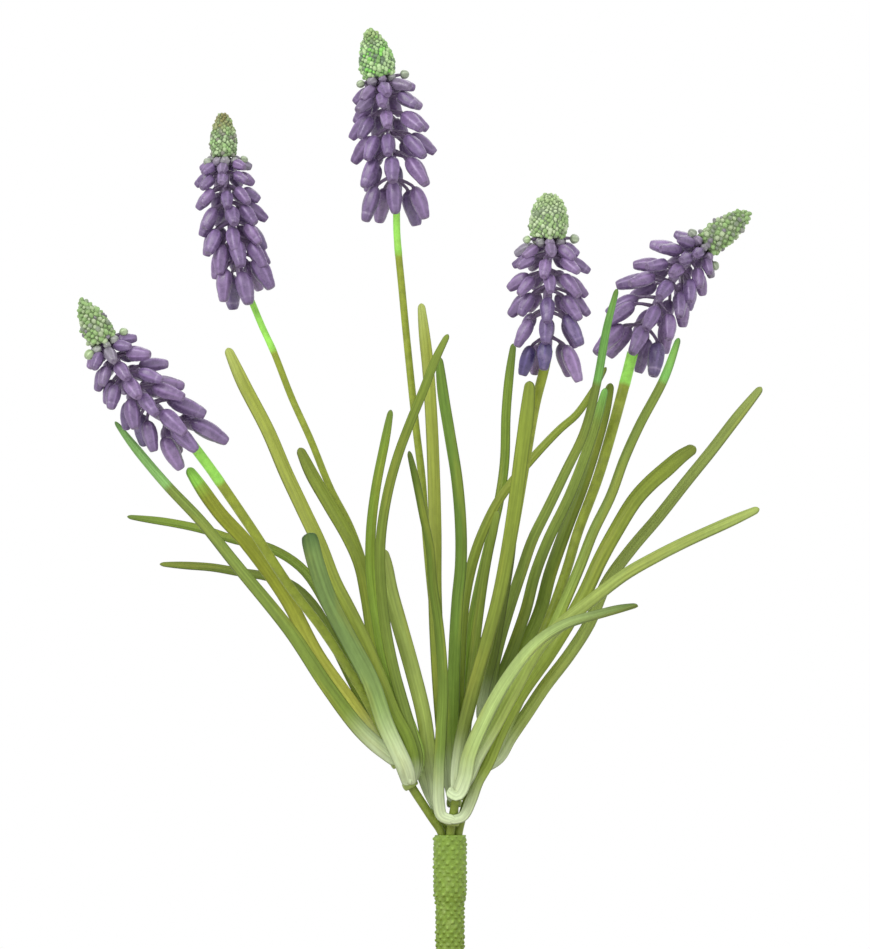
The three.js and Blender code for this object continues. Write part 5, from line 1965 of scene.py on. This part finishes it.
RIGHT_OUTER = LeafTuft("right_outer", RIGHT, 130.75, (
    Leaf((3.4, 2.8), (10, 25), LeafTone.MEADOW, light=(1.15, 0.9), route=(
        (12, -1.8, 134.2), (15, -1.8, 139.2), (18.8, -1.4, 144.8), (23.6, -0.6, 152), (29.7, 0.8, 159.9),
        (34.75, 2.4, 167.75), (39, 4.6, 177.6), (45.2, 7, 186.25), (52.25, 9.6, 194.5), (59, 12, 203),
        (65.75, 14.4, 211.3), (72.5, 16.6, 220), (78.25, 18.2, 227),
    )),
    Leaf((3.2, 2.2), (10, 20), LeafTone.BRIGHT_TIP, light=(1.8, 0.95), dip=228.5, route=(
        (10.2, -3.6, 135), (13, -3.8, 140), (17.4, -3.4, 149.3), (22.6, -2.9, 160), (27.8, -2.2, 171.25),
        (32.6, -1.4, 182.5), (35.8, -0.9, 190.75), (40.2, -0.4, 199.75), (43.6, 0, 209), (47.4, 0.2, 217.4),
        (53.5, 0.2, 229), (57.25, 0, 239.25),
    )),
))
RIGHT_BACK = LeafTuft("right_back", RIGHT, 139.5, (
    Leaf((3.4, 1.8), (0, 20), LeafTone.BRIGHT_TIP, light=(1.1, 0.95), dip=228.0, route=(
        (8.8, 1.8, 144.5), (9.8, 2.4, 152), (11.8, 2.8, 161.5), (14.4, 2.6, 170.5), (18, 2.2, 181.25),
        (20.6, 1.8, 188.75), (24.4, 1.2, 196.5), (29, 0.4, 206), (33.5, -0.4, 215.5), (36.75, -1.2, 228),
        (39.25, -2, 242), (41.75, -2.6, 251.5),
    )),
    Leaf((3.2, 2.4), (0, 20), LeafTone.BRIGHT_TIP, light=(1.0, 1.1), dip=228.0, route=(
        (10.4, 3, 145.5), (12.8, 4.4, 154), (16, 5.2, 162.5), (19, 5.6, 171.25), (21.25, 5.6, 180),
        (24.6, 5.4, 188.75), (30, 5, 200), (35.2, 4.6, 213.75), (39, 4.4, 226.75),
    )),
    Leaf((3.6, 3), (0, 15), LeafTone.DEEP, light=(1.6, 1.0), route=(
        (12, 4, 145.5), (15.4, 6, 154), (19.6, 7.4, 163.75), (22.7, 8.2, 171.25), (25, 8.8, 180),
        (28.5, 9.4, 190), (33.7, 10.6, 203.75), (37.5, 12.2, 216), (40.4, 13.8, 228),
    )),
    Leaf((2.8, 2.4), (0, 10), LeafTone.DEEP, light=(0.85, 0.6), route=(
        (8, 0.3, 144.5), (8.5, 0.1, 150.5), (11, -0.3, 161.25), (13.25, -0.8, 173.75), (14.9, -1.2, 184),
        (16.2, -1.8, 197),
    )),
))
TUFTS = (
    LEFT_OUTER, LEFT_FRONT, MIDDLE_FRONT, MIDDLE_LEFT, MIDDLE_BACK, RIGHT_FRONT, RIGHT_OUTER, RIGHT_BACK,
)


# ------------ studio


@dataclass(frozen=True)
class SoftLight:
    """A square soft light: its place and side in metres, and its power in watts."""

    name: str
    place: Triple
    side: float
    power: float


@dataclass
class Studio:
    """The camera, the pale floor and the soft lights round the object, in metres."""

    camera_at: Triple = (-0.00375, -6.6, 0.205125)
    lens: float = 1001.4
    sensor: float = 36.0
    sees_to: float = 20.0
    floor_radius: float = 1.45
    floor_solid: float = 0.45
    floor_fade: float = 0.98
    floor_drop: float = 0.0004
    floor_sides: int = 96
    floor_roughness: float = 0.9
    floor_paint: Paint = Paint(232, 232, 230)
    room_light: float = 0.82
    aim: Triple = (0.0, 0.0, 0.18)
    lights: tuple[SoftLight, ...] = (
        SoftLight("key", (-0.9, -1.3, 1.4), 1.1, 18.0),
        SoftLight("fill", (1.3, -1.2, 0.6), 1.4, 4.0),
        SoftLight("back", (0.3, 1.2, 1.3), 1.2, 6.0),
    )

    def build(self) -> None:
        """Set up the camera, the floor, the lights and the world."""
        self._camera()
        self._floor()
        for light in self.lights:
            self._light(light)
        self._world()
        bpy.context.scene.view_settings.view_transform = "Standard"
        log.info("studio: camera, floor, %d lights and world", len(self.lights))

    def _camera(self) -> None:
        """Place the level camera in front of the spray."""
        data = bpy.data.cameras.new("camera")
        data.sensor_width = self.sensor
        data.lens = self.lens
        data.clip_end = self.sees_to
        camera = bpy.data.objects.new("camera", data)
        camera.location = self.camera_at
        camera.rotation_euler = (math.pi / 2, 0.0, 0.0)
        bpy.context.scene.collection.objects.link(camera)
        bpy.context.scene.camera = camera

    def _floor(self) -> None:
        """Lay a pale round floor whose edge fades away."""
        radii = np.full((1, self.floor_sides), self.floor_radius)
        ring = level_rings(np.array([-self.floor_drop]), radii)[0]
        mesh = bpy.data.meshes.new("floor")
        mesh.from_pydata(ring.tolist(), [], [list(range(self.floor_sides))])
        floor = bpy.data.objects.new("floor", mesh)
        bench = Bench("pale_floor")
        distance = bench.fed("VectorMath", {0: bench.spot()}, "Value", operation="LENGTH")
        faded = (self.floor_solid, self.floor_radius * self.floor_fade)
        bench.join(bench.spread(distance, (1.0, 0.0), faded), bench.shader.inputs["Alpha"])
        bench.join((*self.floor_paint.linear(), 1.0), bench.shader.inputs["Base Color"])
        bench.join(self.floor_roughness, bench.shader.inputs["Roughness"])
        mesh.materials.append(bench.material)
        bpy.context.scene.collection.objects.link(floor)

    def _light(self, light: SoftLight) -> None:
        """Hang one soft light, turned towards the spray.

        Args:
            light: The light.
        """
        data = bpy.data.lights.new(light.name, "AREA")
        data.size = light.side
        data.energy = light.power
        lamp = bpy.data.objects.new(light.name, data)
        lamp.location = light.place
        lamp.rotation_euler = (Vector(self.aim) - Vector(light.place)).to_track_quat("-Z", "Y").to_euler()
        bpy.context.scene.collection.objects.link(lamp)

    def _world(self) -> None:
        """Surround the scene with white, dimmer as a light than as a backdrop."""
        world = bpy.data.worlds.new("white_room")
        world.use_nodes = True
        tree = world.node_tree
        room = tree.nodes["Background"]
        backdrop = tree.nodes.new("ShaderNodeBackground")
        for shade, strength in ((room, self.room_light), (backdrop, 1.0)):
            shade.inputs["Color"].default_value = (1.0, 1.0, 1.0, 1.0)
            shade.inputs["Strength"].default_value = strength
        seen = tree.nodes.new("ShaderNodeLightPath")
        blend = tree.nodes.new("ShaderNodeMixShader")
        tree.links.new(seen.outputs["Is Camera Ray"], blend.inputs["Fac"])
        tree.links.new(room.outputs["Background"], blend.inputs[1])
        tree.links.new(backdrop.outputs["Background"], blend.inputs[2])
        tree.links.new(blend.outputs["Shader"], tree.nodes["World Output"].inputs["Surface"])
        bpy.context.scene.world = world


# ------------ the whole object


def main() -> None:
    """Build every sub-assembly in order."""
    logging.basicConfig(level=logging.INFO, format="%(name)s: %(message)s")
    pot = ClayPot()
    pot.build()
    SoilFill(pot).build()
    SleeveStem().build()
    for number, stalk in enumerate(STALKS):
        stalk.build()
        FloretCluster(stalk.name, stalk.head, FLORET_SEED * number).build()
        BeadedTip(stalk.name, stalk.head, TIP_SEED * number).build()
    for tuft in TUFTS:
        tuft.build()
    Studio().build()


if __name__ == "__main__":
    main()
